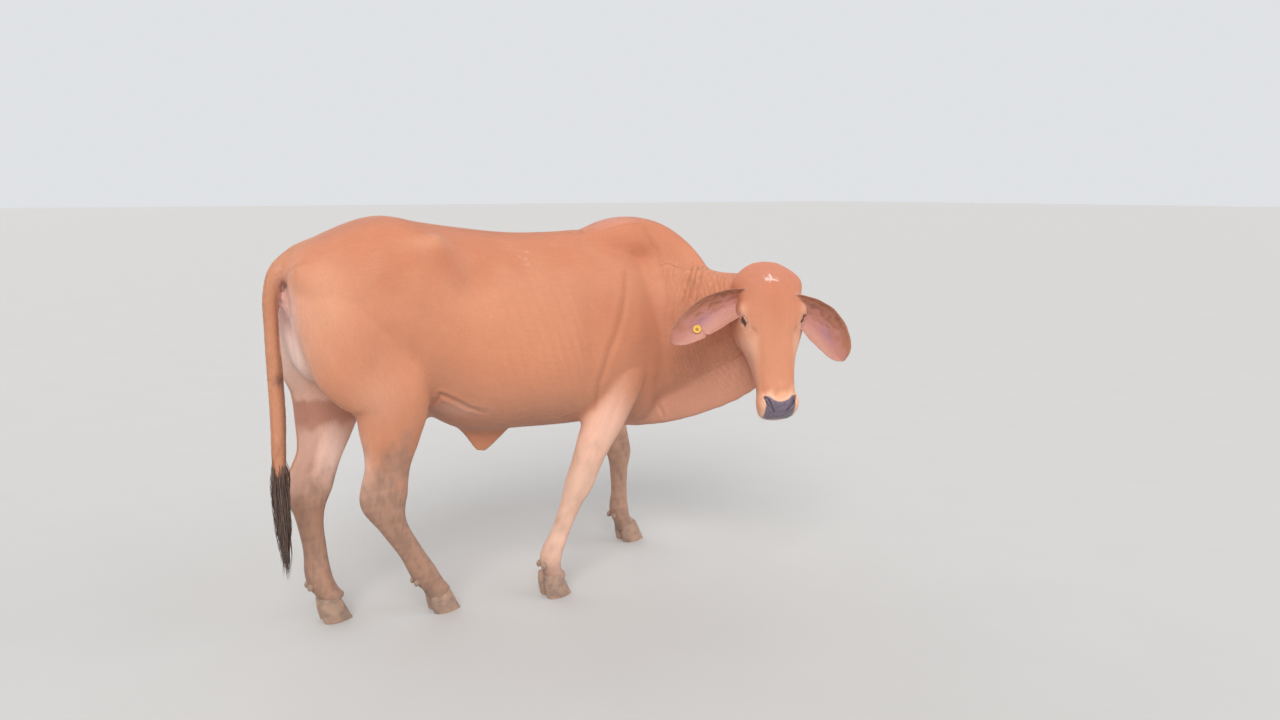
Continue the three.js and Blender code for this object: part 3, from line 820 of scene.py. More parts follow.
# The skin lies further out than the ball, so that what is seen on it is a little smaller.
LID_VIEW = 0.92
# Skin further than this from the ball's centre is not the eye's, and skin behind it counts as that far away.
EYE_REACH = 60.0


def lid_middle(a):
    """Height of the opening's middle line at a distance towards the inner corner."""
    t = np.clip(np.abs(a) / LID_LENGTH, 0, 1)
    return 1.6 * (1 - t * t) - 1.2 * a / LID_LENGTH


def lid_half(a, upper):
    """Reach of the opening above or below its middle line."""
    t = np.clip(np.abs(a) / LID_LENGTH, 0, 1)
    return np.where(upper, LID_OPEN_UP, LID_OPEN_DOWN) * (1 - t**2.2) ** 0.75


def lid_distance(points, side):
    """Distance from the edge of the lids, negative inside the opening, height over its middle, distance from
    the eye's centre, and distance towards the inner corner."""
    centre, look, inward, up = eye_frame(side)
    from_eye = points - centre
    radius = np.linalg.norm(from_eye, axis=1)
    a, b = from_eye @ inward * LID_VIEW, from_eye @ up * LID_VIEW
    above = b - lid_middle(a)
    beyond = np.maximum(np.abs(a) - LID_LENGTH, 0)
    edge = np.where(beyond > 0, np.hypot(beyond, above), np.abs(above) - lid_half(a, above > 0))
    edge = np.where(from_eye @ look > 0, edge, EYE_REACH)
    return edge, above, radius, a


# Height of the lid's skin over the ball by its distance from the opening's edge: a thick rim, then the lid
RIM_AT = (-2.0, -0.8, 0.4, 1.6, 3.0, 7.0)
RIM_HEIGHT = (-3.2, -2.4, 1.0, 2.4, 3.0, 3.4)


def carve_eye(points, side):
    """Draws the skin round the eye's ball into two lids with thick rims, and folds above and below."""
    centre = eye_frame(side)[0]
    edge, above, radius, along = lid_distance(points, side)
    close = radius < EYE_REACH
    fold = np.where(above > 0, 1.5, 0.9) * bell(edge, 8.5, 1.7)
    fold += 0.8 * bell(edge, 14, 1.8) * (above > 0)
    hold = (1 - ramp(edge, 5.0, 11.0)) * close * (1 - ramp(np.abs(along), 12.5, 18.5))
    wanted = EYE_RADIUS + np.interp(edge, RIM_AT, RIM_HEIGHT)
    moved = radius * (1 - hold) + wanted * hold - fold * close
    return centre + (points - centre) * (moved / np.maximum(radius, 1))[:, None]


# A nostril from its outer corner, high on the muzzle, down to its inner end on the pad, with its radii
NOSTRIL = np.array([(469, 53, 36), (477, 48, 40), (491, 41, 38), (504, 31, 32), (514, 22, 22)], float)
NOSTRIL_RADII = (4.5, 9.0, 7.6, 5.0, 2.5)
NOSTRIL_DEPTH = 13.0


def onto(tree, line):
    """The nearest points of the skin to the places of a line."""
    return np.array([tree.find(Vector(p))[0] for p in np.asarray(line, float).tolist()])


def nostril_radius(share):
    return np.interp(share, np.linspace(0, 1, len(NOSTRIL_RADII)), NOSTRIL_RADII)


def carve_nostril(points, tree, side):
    """Sinks a nostril into the muzzle, with a raised wing round its outer side."""
    far, share = line_distance(points, onto(tree, mirrored(NOSTRIL, side)))
    radius = nostril_radius(share)
    inside = ramp(1 - far / radius, -0.12, 0.6)
    inward = unit(np.array([-0.45, -0.2 * side, -0.85]))
    outer = ramp(points[:, 1] * side - np.interp(points[:, 0], NOSTRIL[:, 0], NOSTRIL[:, 1]), 0, 5)
    wing = bell(far - radius, 3.5, 3.6) * (0.25 + 0.75 * outer)
    outward = unit(np.array([0.1, 0.6 * side, 0.7]))
    points += inward * (NOSTRIL_DEPTH * inside * (1.0 - 0.6 * share))[:, None]
    points += outward * (2.2 * wing)[:, None]


MOUTH = [
    (412, 62, -20),
    (440, 64, -27),
    (470, 68, -32),
    (498, 68, -37),
    (518, 56, -42),
    (530, 32, -45),
    (535, 0, -46),
]

# The groove down the middle of the nose pad
PHILTRUM = [(532, 0, 14), (538, 0, -10), (537, 0, -40)]

# Fine forms of the face: ridges of the nasal bones, facial crests, jaws, temples and lips
FACE_FORMS = [
    ((250, 44, 66), (90, 12, 20), (0, 0, 2.2)),
    ((272, 97, -6), (60, 14, 12), (0, 3.0, 0)),
    ((215, 92, -78), (52, 30, 34), (0, 5, -3)),
    ((122, 118, 22), (26, 22, 28), (0, -7, 0)),
    ((300, 74, -66), (50, 22, 22), (0, -5, 3)),
    ((140, 50, 84), (46, 26, 20), (0, 0, 2.5)),
    ((166, 112, 64), (20, 12, 14), (0, 3, 3)),
    ((226, 104, 40), (22, 10, 12), (0, 2.4, 1)),
    ((505, 40, -52), (28, 22, 14), (2, 3, -3)),
    ((470, 60, -14), (30, 12, 16), (0, 2.4, 0)),
]
# Grooves of the face: from the inner corner of the eye, edge of the cheek, behind the lips, under the wing
FACE_GROOVES = [
    ([(226, 88, 60), (238, 78, 63), (252, 70, 63)], 1.8, 6.0, 0.5),
    ([(202, 122, -6), (228, 116, -28), (238, 108, -60), (230, 94, -96)], 2.2, 10.0, 0.8),
    ([(392, 70, -6), (404, 70, -22), (408, 64, -40)], 2.0, 5.0, 0.8),
    ([(446, 66, 14), (470, 70, 8), (494, 71, 2)], 1.4, 4.0, 0.6),
]


def whole_mouth():
    """The line of the mouth from its right corner round to its left one."""
    return [mirrored(p, -1) for p in MOUTH] + [np.array(p, float) for p in MOUTH[-2::-1]]


def near_features(points):
    """The eyes' surroundings and the front of the muzzle."""
    head = to_head(points)
    eye = np.minimum(*(np.linalg.norm(head - mirrored(EYE_AT, side), axis=1) for side in SIDES))
    return (eye < 40) | (head[:, 0] > 405)


def near_rims(points):
    """The rims of the lids and the nostrils."""
    head = to_head(points)
    picked = np.zeros(len(head), bool)
    for side in SIDES:
        edge, _, radius, _ = lid_distance(head, side)
        picked |= (edge < 11) & (radius < 42)
        picked |= line_distance(head, mirrored(NOSTRIL, side))[0] < 15
    return picked


def head_skin():
    skull, faces = loft(HEAD, 180, 300, axis=FORWARD, grow=-FACE_COAT_DEPTH)
    swellings(skull, HEAD_BONES)
    for form in HEAD_MIDDLE:
        swell(skull, *form)
    parts = [make("skull", from_head(skull), faces)]
    for side in SIDES:
        points, faces = ball(mirrored(EYE_AT, side), EYE_RADIUS + LID - 0.5, 40)
        parts.append(make("lids", from_head(points), faces))
    head = remesh(join(parts, "head"), HEAD_VOXEL)
    refine(head, near_features)
    refine(head, near_rims)
    points, edges = to_head(points_of(head.data)), edges_of(head.data)
    relax(points, edges, np.ones(len(points)), 4)
    swellings(points, FACE_FORMS)
    set_points(head.data, from_head(points))
    normals = normals_of(head.data) @ HEAD_AXES.T
    tree = nearest_tree(points)
    for line, depth, width, bank in FACE_GROOVES:
        for side in SIDES:
            crease(points, normals, onto(tree, mirrored(line, side)), depth, width, bank)
    crease(points, normals, onto(tree, whole_mouth()), 5.0, 2.2, 1.6)
    crease(points, normals, onto(tree, PHILTRUM), 1.6, 2.0, 0.4)
    for side in SIDES:
        carve_nostril(points, tree, side)
        points = carve_eye(points, side)
    set_points(head.data, from_head(points))
    return head


def whole_skin():
    """The head's and the ears' skin joined to the body's, with the lines between them smoothed."""
    body = body_skin()
    head = head_skin()
    ears = [make("ear", *ear(side)) for side in SIDES]
    skin = unite(body, [head, *ears])
    points, edges = points_of(skin.data), edges_of(skin.data)
    far = crease_distance(skin.data, points, edges, sharp=0.3, most=40.0)
    head_at = to_head(points)
    throat = ramp(-head_at[:, 2], 70, 100) * (1 - ramp(head_at[:, 0], 250, 330))
    neck_side = (1 - ramp(head_at[:, 0], 60, 110)) + throat
    near_head = 1 - ramp(np.linalg.norm(head_at - (120, 0, -40), axis=1), 230, 280)
    ear_leaf = np.zeros(len(points))
    for side in SIDES:
        root = np.linalg.norm(points - np.array(EARS[side]["rows"][0][:3]), axis=1)
        ear_leaf = np.maximum(ear_leaf, 1 - ramp(root, 40, 60))
        tip = ear_frames(side, np.linspace(0.22, 1, 12))[0][:, :3]
        neck_side *= ramp(np.min([np.linalg.norm(points - t, axis=1) for t in tip], axis=0), 50, 75)
    weight = (1 - ramp(far, 8, 36)) * near_head * np.clip(neck_side, 0, 1)
    relax(points, edges, weight, 60)
    relax(points, edges, (1 - ramp(far, 2, 9)) * ear_leaf, 12)
    set_points(skin.data, points)
    skin.name = "skin"
    return skin


# Materials

class Shader:
    """A material's nodes, made and linked in few words."""

    def __init__(self, name, roughness, specular, sheen=0.0):
        self.material = bpy.data.materials.new(name)
        self.material.use_nodes = True
        self.tree = self.material.node_tree
        self.surface = self.tree.nodes["Principled BSDF"]
        self.surface.inputs["Roughness"].default_value = roughness
        self.surface.inputs["Specular IOR Level"].default_value = specular
        self.surface.inputs["Sheen Weight"].default_value = sheen

    def feed(self, socket, value):
        """Links a socket to another node's output, or sets it to a number, a vector or a colour."""
        if isinstance(value, bpy.types.NodeSocket):
            self.tree.links.new(value, socket)
        elif socket.type == "RGBA":
            socket.default_value = (*value[:3], 1)
        else:
            socket.default_value = value

    def node(self, kind, inputs=None, **settings):
        made = self.tree.nodes.new(kind)
        for key, value in settings.items():
            setattr(made, key, value)
        for key, value in (inputs or {}).items():
            self.feed(made.inputs[key], value)
        return made

    def link(self, value, socket):
        self.tree.links.new(value, self.surface.inputs[socket])

    def attribute(self, name):
        return self.node("ShaderNodeAttribute", attribute_name=name)

    def stretch(self, vector, scale):
        return self.node("ShaderNodeMapping", {"Vector": vector, "Scale": scale}).outputs[0]

    def place(self, scale=(1, 1, 1)):
        """Object coordinates, which are the model's own, stretched by a scale."""
        return self.stretch(self.node("ShaderNodeTexCoord").outputs["Object"], scale)

    def noise(self, place, scale, detail=4.0, roughness=0.55):
        inputs = {"Vector": place, "Scale": scale, "Detail": detail, "Roughness": roughness}
        return self.node("ShaderNodeTexNoise", inputs).outputs["Fac"]

    def math(self, operation, a, b=0.5):
        return self.node("ShaderNodeMath", {0: a, 1: b}, operation=operation).outputs[0]

    def between(self, value, low, high, to_low=0.0, to_high=1.0):
        inputs = {"Value": value, "From Min": low, "From Max": high, "To Min": to_low, "To Max": to_high}
        return self.node("ShaderNodeMapRange", inputs).outputs["Result"]

    def mix(self, share, a, b, blend="MIX"):
        inputs = {"Factor": share, 6: a, 7: b}
        return self.node("ShaderNodeMix", inputs, data_type="RGBA", blend_type=blend).outputs[2]

    def shade(self, colour, tone):
        """A colour made lighter or darker by a tone."""
        grey = self.node("ShaderNodeCombineColor", {"Red": tone, "Green": tone, "Blue": tone})
        return self.mix(1.0, colour, grey.outputs["Color"], "MULTIPLY")

    def bump(self, height, strength, distance, normal=None):
        inputs = {"Height": height, "Strength": strength, "Distance": distance}
        if normal is not None:
            inputs["Normal"] = normal
        return self.node("ShaderNodeBump", inputs).outputs["Normal"]


def srgb(text):
    """Linear colour of a hex colour."""
    values = [int(text[i : i + 2], 16) / 255 for i in (1, 3, 5)]
    return np.array([v / 12.92 if v <= 0.04045 else ((v + 0.055) / 1.055) ** 2.4 for v in values])


def horn_material():
    """Grey-violet horn with growth rings round the hoof, and dried mud."""
    shader = Shader("hoof_horn", roughness=0.55, specular=0.35)
    fine = shader.noise(shader.place((40, 40, 260)), 1.0, 3)
    stain = shader.noise(shader.place(), 28, 5)
    colour = shader.mix(shader.between(fine, 0.35, 0.65), srgb("#876f64"), srgb("#99806f"))
    colour = shader.mix(shader.between(stain, 0.38, 0.6), colour, srgb("#ad8c76"))
    shader.link(colour, "Base Color")
    shader.link(shader.between(stain, 0.4, 0.7, 0.45, 0.85), "Roughness")
    shader.link(shader.bump(fine, 0.5, 0.0012), "Normal")
    return shader.material


def tag_material():
    """Yellow moulded plastic with a slight mottle and scuffs."""
    shader = Shader("tag_plastic", roughness=0.38, specular=0.5)
    mottle = shader.noise(shader.place(), 160, 4)
    scuff = shader.noise(shader.place((1, 1, 4)), 420, 3)
    colour = shader.mix(shader.between(mottle, 0.35, 0.7), srgb("#f2c24e"), srgb("#e3aa3c"))
    centre = shader.attribute("Centre").outputs["Fac"]
    colour = shader.mix(centre, colour, srgb("#9a6a3a"))
    colour = shader.mix(shader.between(scuff, 0.62, 0.72, 0, 0.5), colour, srgb("#8a6a35"))
    shader.link(colour, "Base Color")
    shader.link(shader.between(mottle, 0.3, 0.7, 0.3, 0.5), "Roughness")
    shader.link(shader.bump(scuff, 0.25, 0.0004), "Normal")
    return shader.material


def shade_smooth(obj):
    obj.data.polygons.foreach_set("use_smooth", np.ones(len(obj.data.polygons), bool))
    obj.data.update()


def finish_piece(obj, slot, *nodes, smooth=True):
    """Shading, and what the piece rides on and stands for. Its slot is not used."""
    if smooth:
        shade_smooth(obj)
    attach(obj, "root")
    if nodes:
        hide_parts(*nodes)


# Eyes

# Half the pupil's width and height as shares of the ball's radius, how far the cornea stands out, and the
# angles from the line of sight where it is full and where it ends
PUPIL_HALVES = {"X": 0.34, "Y": 0.2}
CORNEA_RISE = 0.03
CORNEA_FULL = 0.3
CORNEA_END = 0.75


def eye_material():
    """A dark brown iris with a wide lying pupil, brown-grey at the rim, under a wet film."""
    shader = Shader("eye_wet", roughness=0.06, specular=0.6)
    shader.surface.inputs["Coat Weight"].default_value = 1.0
    shader.surface.inputs["Coat Roughness"].default_value = 0.03
    where = shader.attribute("Iris").outputs["Vector"]
    parts = shader.node("ShaderNodeSeparateXYZ", {"Vector": where}).outputs
    ratios = [shader.math("DIVIDE", parts[axis], half) for axis, half in PUPIL_HALVES.items()]
    squares = [shader.math("MULTIPLY", ratio, ratio) for ratio in ratios]
    pupil = shader.math("SQRT", shader.math("ADD", *squares))
    rays = shader.between(shader.noise(shader.stretch(where, (6, 6, 1)), 5, 4), 0.3, 0.7)
    iris = shader.mix(rays, srgb("#2a150c"), srgb("#4a2a17"))
    white = shader.mix(rays, srgb("#6b5348"), srgb("#8f7669"))
    colour = shader.mix(shader.between(parts["Z"], 0.66, 0.74), iris, white)
    colour = shader.mix(shader.between(pupil, 0.85, 1.05), srgb("#050404"), colour)
    shader.link(colour, "Base Color")
    return shader.material


def eyes():
    """Both eyeballs, with the pole of each one's mesh and its cornea facing out."""
    material = eye_material()
    for side in SIDES:
        centre, look, inward, _ = eye_frame(side)
        points, faces = ball((0, 0, 0), np.full(3, EYE_RADIUS), 64)
        axes = np.array([inward, np.cross(look, inward), look])
        way = points / EYE_RADIUS
        cornea = ramp(way[:, 2], math.cos(CORNEA_END), math.cos(CORNEA_FULL))
        points = points * (1 + CORNEA_RISE * cornea)[:, None]
        obj = make(f"eyeball_{HANDS[side]}", from_head(points @ axes + centre), faces, material)
        from_middle = np.arccos(np.clip(way[:, 2], -1, 1)) / (math.pi / 2)
        set_attribute(obj.data, "Iris", "FLOAT_VECTOR", np.stack([way[:, 0], way[:, 1], from_middle], -1))
        finish_piece(obj, "eye", f"eye_{HANDS[side]}")


# Hooves and dewclaws

# Where the middle of each sole stands on the floor
SOLES = {
    "fore_right": (114, -146),
    "fore_left": (646, 180),
    "hind_right": (-266, -38),
    "hind_left": (-600, 90),
}
# Rows of a claw from its top to its sole: how far forward and outward of the sole's middle it stands, its
# height, its reach before and behind, and its half width
CLAW_ROWS = [
    (-12, 23, 84, 34, 32, 21),
    (-6, 24, 56, 42, 38, 22.5),
    (2, 24.5, 26, 47, 42, 23),
    (10, 24.5, 0, 52, 44, 22),
]
CLAW_OUTWARD = 24
RING_HEIGHT = 0.35
# Size of a dewclaw, and its place from the joint above the hoof
DEWCLAW_SIZE = (11.5, 8.5, 13)
DEWCLAW_BEHIND = 37
DEWCLAW_OUTWARD = 18
DEWCLAW_BELOW = 17


def claw(sole, side):
    """One claw of a hoof: its wall narrows to the toe, which bends inward, and carries growth rings."""
    x, y = sole
    rows = [
        even_row((x + forward, y + side * outward, z), fore, aft, half, 1.8, 2.2)
        for forward, outward, z, fore, aft, half in CLAW_ROWS
    ]
    points, faces = loft(rows, 48, 60, top=FORWARD, axis=-UP, grow=0)
    middle = y + side * CLAW_OUTWARD
    fore = ramp(points[:, 0] - x, 6, 62)
    outer = (points[:, 1] - middle) * side
    points[:, 1] -= side * fore * (0.34 * np.maximum(outer, 0) + 2.0)
    z = points[:, 2]
    rings = np.sin(z * 0.9 + 2.2 * np.sin(z * 0.23)) * ramp(z, 3, 10)
    heel = 1 - ramp(points[:, 0] - x, -22, -4)
    out = unit(points - (x + 2, middle, 0))
    out[:, 2] = 0
    points += out * (RING_HEIGHT * rings * (1 - heel))[:, None]
    points[:, 2] = np.maximum(points[:, 2], 0)
    return points, faces


def dewclaw(fetlock, side):
    x, y, z = fetlock
    points, faces = ball((0, 0, 0), DEWCLAW_SIZE, 28)
    points[:, 0] -= 4 * np.abs(points[:, 2] / 15) ** 2 * np.sign(-points[:, 2])
    points *= (1 + 0.015 * np.sin(points[:, 2] * 1.3))[:, None]
    return points + (x - DEWCLAW_BEHIND, y + side * DEWCLAW_OUTWARD, z - DEWCLAW_BELOW), faces


def hooves():
    material = horn_material()
    legs = {"hind": HIND_LEGS, "fore": FORELEGS}
    for foot, sole in SOLES.items():
        end, hand = foot.split("_")
        for side in SIDES:
            hoof = make(f"hoof_{foot}_{HANDS[side]}", *claw(sole, side), material)
            finish_piece(hoof, "horn", f"claw_{foot}_{HANDS[side]}")
            spur = make(f"spur_{foot}_{HANDS[side]}", *dewclaw(legs[end][hand]["fetlock"], side), material)
            finish_piece(spur, "horn", f"dewclaw_{foot}_{HANDS[side]}")


# Ear tag

TAG_AT = np.array([554.8, -397.8, 948.4])
TAG_FACING = unit([-0.6, -0.79, 0.1])
TAG_SIDES = 64
# Profiles of both halves: radius, and height along the way the tag faces
TAG_FRONT = [
    *((0, -7), (2.2, -7), (3, -6.2), (3, 7.6), (3.4, 8), (12.4, 8)),
    *((13.6, 8.5), (14, 9.6), (13.8, 11.2), (12.6, 12), (11.4, 11.7), (10.6, 11.1)),
    *((6.2, 11.1), (5.8, 11.3), (5.5, 12.2), (4.6, 12.6), (2.6, 12.4), (0, 12.4)),
]
TAG_BACK = [
    *((0, -7.3), (9.8, -7.3), (10.8, -7.7), (11, -8.8), (10.7, -9.8)),
    *((9.6, -10.3), (5, -10.3), (4.4, -10.6), (0, -10.6)),
]


def turned(profile):
    """A form turned about the tag's axis from a profile that starts and ends on it."""
    profile = np.array(profile, float)
    angle = np.arange(TAG_SIDES) * 2 * math.pi / TAG_SIDES
    across = unit(np.cross(UP, TAG_FACING))
    up = np.cross(TAG_FACING, across)
    round_way = np.cos(angle)[:, None] * across + np.sin(angle)[:, None] * up
    rings = profile[1:-1, 0, None, None] * round_way + profile[1:-1, 1, None, None] * TAG_FACING
    ends = profile[[0, -1], 1, None] * TAG_FACING
    points = np.concatenate([rings.reshape(-1, 3), ends]) + TAG_AT
    return points, [face[::-1] for face in tube_faces(len(profile) - 3, TAG_SIDES)]


def ear_tag():
    """Front and back of the tag, with a darker middle where the pin ends."""
    material = tag_material()
    points, faces = turned(TAG_FRONT)
    front = make("tag_front", points, faces, material)
    off = points - TAG_AT
    radius = np.linalg.norm(off - (off @ TAG_FACING)[:, None] * TAG_FACING, axis=1)
    set_attribute(front.data, "Centre", "FLOAT", (1 - ramp(radius, 4.0, 7.0)) * 0.9)
    finish_piece(front, "tag", "ear_tag_front")
    back = make("tag_back", *turned(TAG_BACK), material)
    finish_piece(back, "tag", "ear_tag_back")


# Hair, as thin solid strands

# Width of each strand's patch on the map
UV_PATCH = 0.003


def strands(name, points, triangles, colour, uv, material):
    """One object of many like strands, from each one's points, colours and place on the map, and the
    triangles of one."""
    count, each = points.shape[:2]
    corners = (triangles[None] + np.arange(count)[:, None, None] * each).astype(np.int32).ravel()
    mesh = bpy.data.meshes.new(name)
    mesh.vertices.add(count * each)
    mesh.vertices.foreach_set("co", to_model(points).astype(np.float32).ravel())
    mesh.loops.add(len(corners))
    mesh.loops.foreach_set("vertex_index", corners)
    mesh.polygons.add(len(corners) // 3)
    mesh.polygons.foreach_set("loop_start", np.arange(0, len(corners), 3, dtype=np.int32))
    mesh.update(calc_edges=True)
    mesh.materials.append(material)
    shades = mesh.color_attributes.new("Markings", "FLOAT_COLOR", "POINT")
    shades.data.foreach_set("color", with_alpha(colour).astype(np.float32).ravel())
    turn = np.arange(each) * 2 * math.pi / each
    patch = np.stack([np.cos(turn), np.sin(turn)], -1) * UV_PATCH / 2
    layer = mesh.uv_layers.new(name="OFBake")
    layer.data.foreach_set("uv", (uv[:, None] + patch[None])[:, triangles.ravel()].astype(np.float32).ravel())
    return add_object(name, mesh)


# A tuft's points are its left edge, right edge and ridge, halfway along, its root and its tip.
TUFT_TRIANGLES = np.array([(3, 0, 1), (3, 1, 2), (3, 2, 0), (4, 1, 0), (4, 2, 1), (4, 0, 2)])
TUFT_TILT = 0.3


def spindles(name, paths, across, out, half, thick, root_colour, tip_colour, uv, material):
    """Tufts pointed at both ends, with the skin's own shading, along paths of a root, a middle and a tip."""
    edge, ridge = across * half[:, None], out[:, 1] * thick[:, None]
    root, middle, tip = paths[:, 0], paths[:, 1], paths[:, 2]
    points = np.stack([middle - edge, middle + edge, middle + ridge, root, tip], 1)
    colour = np.stack([(root_colour + tip_colour) / 2] * 3 + [root_colour, tip_colour], 1)
    obj = strands(name, points, TUFT_TRIANGLES, colour, uv, material)
    tilt = across * TUFT_TILT
    normals = np.stack([out[:, 1] - tilt, out[:, 1] + tilt, out[:, 1], out[:, 0], out[:, 2]], 1)
    shade_smooth(obj)
    obj.data.normals_split_custom_set_from_vertices(unit(normals).reshape(-1, 3).astype(np.float32))
    return obj


def blade_triangles(rings):
    """Triangles of a blade with three points a ring and one at its tip."""
    faces = [(0, 1, 2)]
    for ring in range(rings - 1):
        for corner in range(3):
            a, b = ring * 3 + corner, ring * 3 + (corner + 1) % 3
            faces += [(a, b + 3, b), (a, a + 3, b + 3)]
    tip = rings * 3
    for corner in range(3):
        faces.append((tip - 3 + corner, tip, tip - 3 + (corner + 1) % 3))
    return np.array(faces)


def blades(name, paths, across, out, half, thick, root_colour, tip_colour, uv, material):
    """Hair along paths of shape (count, steps, 3). across and out are the blade's width and ridge at each
    step, half and thick its size there, and uv its patch's place on the map."""
    count, steps = paths.shape[:2]
    edge = across[:, :-1] * half[:, :-1, None]
    ridge = out[:, :-1] * thick[:, :-1, None]
    rings = np.stack([paths[:, :-1] - edge, paths[:, :-1] + edge, paths[:, :-1] + ridge], 2)
    points = np.concatenate([rings.reshape(count, -1, 3), paths[:, -1:]], 1)
    share = np.concatenate([np.repeat(np.arange(steps - 1), 3), [steps - 1]])[None, :, None] / (steps - 1)
    colour = root_colour[:, None] * (1 - share) + tip_colour[:, None] * share
    return strands(name, points, blade_triangles(steps - 1), colour, uv, material)


# Floor, sky, lights and camera

FLOOR_REACH = 90
SKY_COLOUR = (0.93, 0.95, 0.98, 1)
SKY_STRENGTH = 0.8
# Name of each sun, the place it shines from, the angle it spreads over, and its strength
SUNS = (
    ("key", (-3.0, -4.2, 4.2), 34, 1.95),
    ("fill", (5.5, -4.5, 1.6), 60, 0.9),
    ("back", (-1.0, 5.5, 4.2), 60, 0.7),
)


def aim(obj, at, way):
    """Places a light or a camera, to look along a way."""
    obj.location = at
    obj.rotation_mode = "QUATERNION"
    obj.rotation_quaternion = way.to_track_quat("-Z", "Y")


def stage():
    """Pale floor and sky, and soft studio lights."""
    shader = Shader("pale_floor", roughness=0.9, specular=0.1)
    grain = shader.noise(shader.place(), 3, 5)
    shader.link(shader.mix(grain, srgb("#bcbab7"), srgb("#c0bebb")), "Base Color")
    mesh = bpy.data.meshes.new("floor")
    corners = [(x * FLOOR_REACH, y * FLOOR_REACH, 0) for x, y in ((-1, -1), (1, -1), (1, 1), (-1, 1))]
    mesh.from_pydata(corners, [], [(0, 1, 2, 3)])
    mesh.materials.append(shader.material)
    add_object("floor", mesh)

    world = bpy.data.worlds.new("soft_sky")
    world.use_nodes = True
    background = world.node_tree.nodes["Background"]
    background.inputs["Color"].default_value = SKY_COLOUR
    background.inputs["Strength"].default_value = SKY_STRENGTH
    bpy.context.scene.world = world
    bpy.context.scene.view_settings.view_transform = "Standard"

    for name, at, spread, strength in SUNS:
        light = bpy.data.lights.new(name, "SUN")
        light.angle = math.radians(spread)
        light.energy = strength
        aim(add_object(name, light), at, -Vector(at))


# The photograph's camera: its place, its heading to the right of +Y, its dip, and its focal length in pixels
CAMERA_AT = (-1490.0, -3068.0, 1420.0)
CAMERA_YAW = math.radians(34.1)
CAMERA_DIP = math.radians(9.8)
FOCAL_PIXELS = 985.0
IMAGE_WIDTH = 1280.0
SENSOR_WIDTH = 36.0


def camera():
    data = bpy.data.cameras.new("camera")
    data.sensor_width = SENSOR_WIDTH
    data.lens = FOCAL_PIXELS / IMAGE_WIDTH * SENSOR_WIDTH
    level = math.cos(CAMERA_DIP)
    way = Vector((math.sin(CAMERA_YAW) * level, math.cos(CAMERA_YAW) * level, -math.sin(CAMERA_DIP)))
    obj = add_object("camera", data)
    aim(obj, to_model(CAMERA_AT), way)
    bpy.context.scene.camera = obj


# Guides: points on the forms under the skin, which tell where any point of the skin lies on them

GUIDE_SIDES = 40
GUIDE_RINGS = 80


def guide_forms():
    """Name, place, way along, lift and left of every ring, and surface of every form."""
    share = np.linspace(0, 1, GUIDE_RINGS + 1)
    forms = [
        ("torso", TORSO, UP, FORWARD),
        ("hump", HUMP, UP, None),
        ("neck", NECK, UP, None),
        ("dewlap", DEWLAP, UP, None),
        ("tail", TAIL, BACK_AND_UP, None),
        ("navel_flap", NAVEL_FLAP, FORWARD, None),
        *((name, rows, FORWARD, None) for name, rows in LEGS.items()),
        ("head", HEAD, UP, FORWARD),
    ]
    for name, rows, top, axis in forms:
        row, along, lift, left = line_frames(course(rows), share, top, axis)
        surface = loft(rows, GUIDE_SIDES, GUIDE_RINGS, top, axis)[0][:-2].reshape(len(share), GUIDE_SIDES, 3)
        place = row[:, :3]
        if name == "head":
            place, surface = from_head(place), from_head(surface)
            along, lift, left = (way @ HEAD_AXES for way in (along, lift, left))
        yield name, place, along, lift, left, surface
    for side in SIDES:
        row, along, front, across = ear_frames(side, share)
        surface = ear(side, GUIDE_SIDES, GUIDE_RINGS)[0][:-2].reshape(len(share), GUIDE_SIDES, 3)
        yield f"ear_{HANDS[side]}", row[:, :3], along, front, across, surface


class Guides:
    """Where each point of the skin lies: its form, its share along it, its angle round it and its local place."""

    def __init__(self, points):
        forms = list(guide_forms())
        self.names = [form[0] for form in forms]
        tree = nearest_tree(np.concatenate([form[5].reshape(-1, 3) for form in forms]))
        ring = np.array([tree.find(at)[1] for at in points.tolist()]) // GUIDE_SIDES
        place, self.along, self.lift, self.left = (
            np.concatenate([form[k] for form in forms])[ring] for k in (1, 2, 3, 4)
        )
        length = np.concatenate([stops_of(form[1]) for form in forms])
        whole = length[GUIDE_RINGS :: GUIDE_RINGS + 1]
        self.form = ring // (GUIDE_RINGS + 1)
        off = points - place
        way = length[ring] + (off * self.along).sum(1)
        self.local = np.stack([(off * self.left).sum(1), (off * self.lift).sum(1), way], 1)
        self.share = np.clip(way / whole[self.form], 0, 1)
        self.angle = np.arctan2(self.local[:, 0], self.local[:, 1])

    def on(self, *names):
        """1 on the named forms and 0 elsewhere."""
        return np.isin(self.form, [self.names.index(name) for name in names]).astype(float)


LEG_NAMES = tuple(LEGS)
HIND_NAMES = ("hind_right", "hind_left")
FORE_NAMES = ("fore_right", "fore_left")
EAR_NAMES = ("ear_right", "ear_left")
TRUNK_NAMES = ("torso", "hump", "neck", "dewlap", "navel_flap")

# The forehead's whorl, from which the hair of the face lies outward, and how it turns down the nose as well
WHORL = np.array([95.0, 0.0, 84.0])
DOWN_NOSE = np.array([0.35, 0, -0.1])


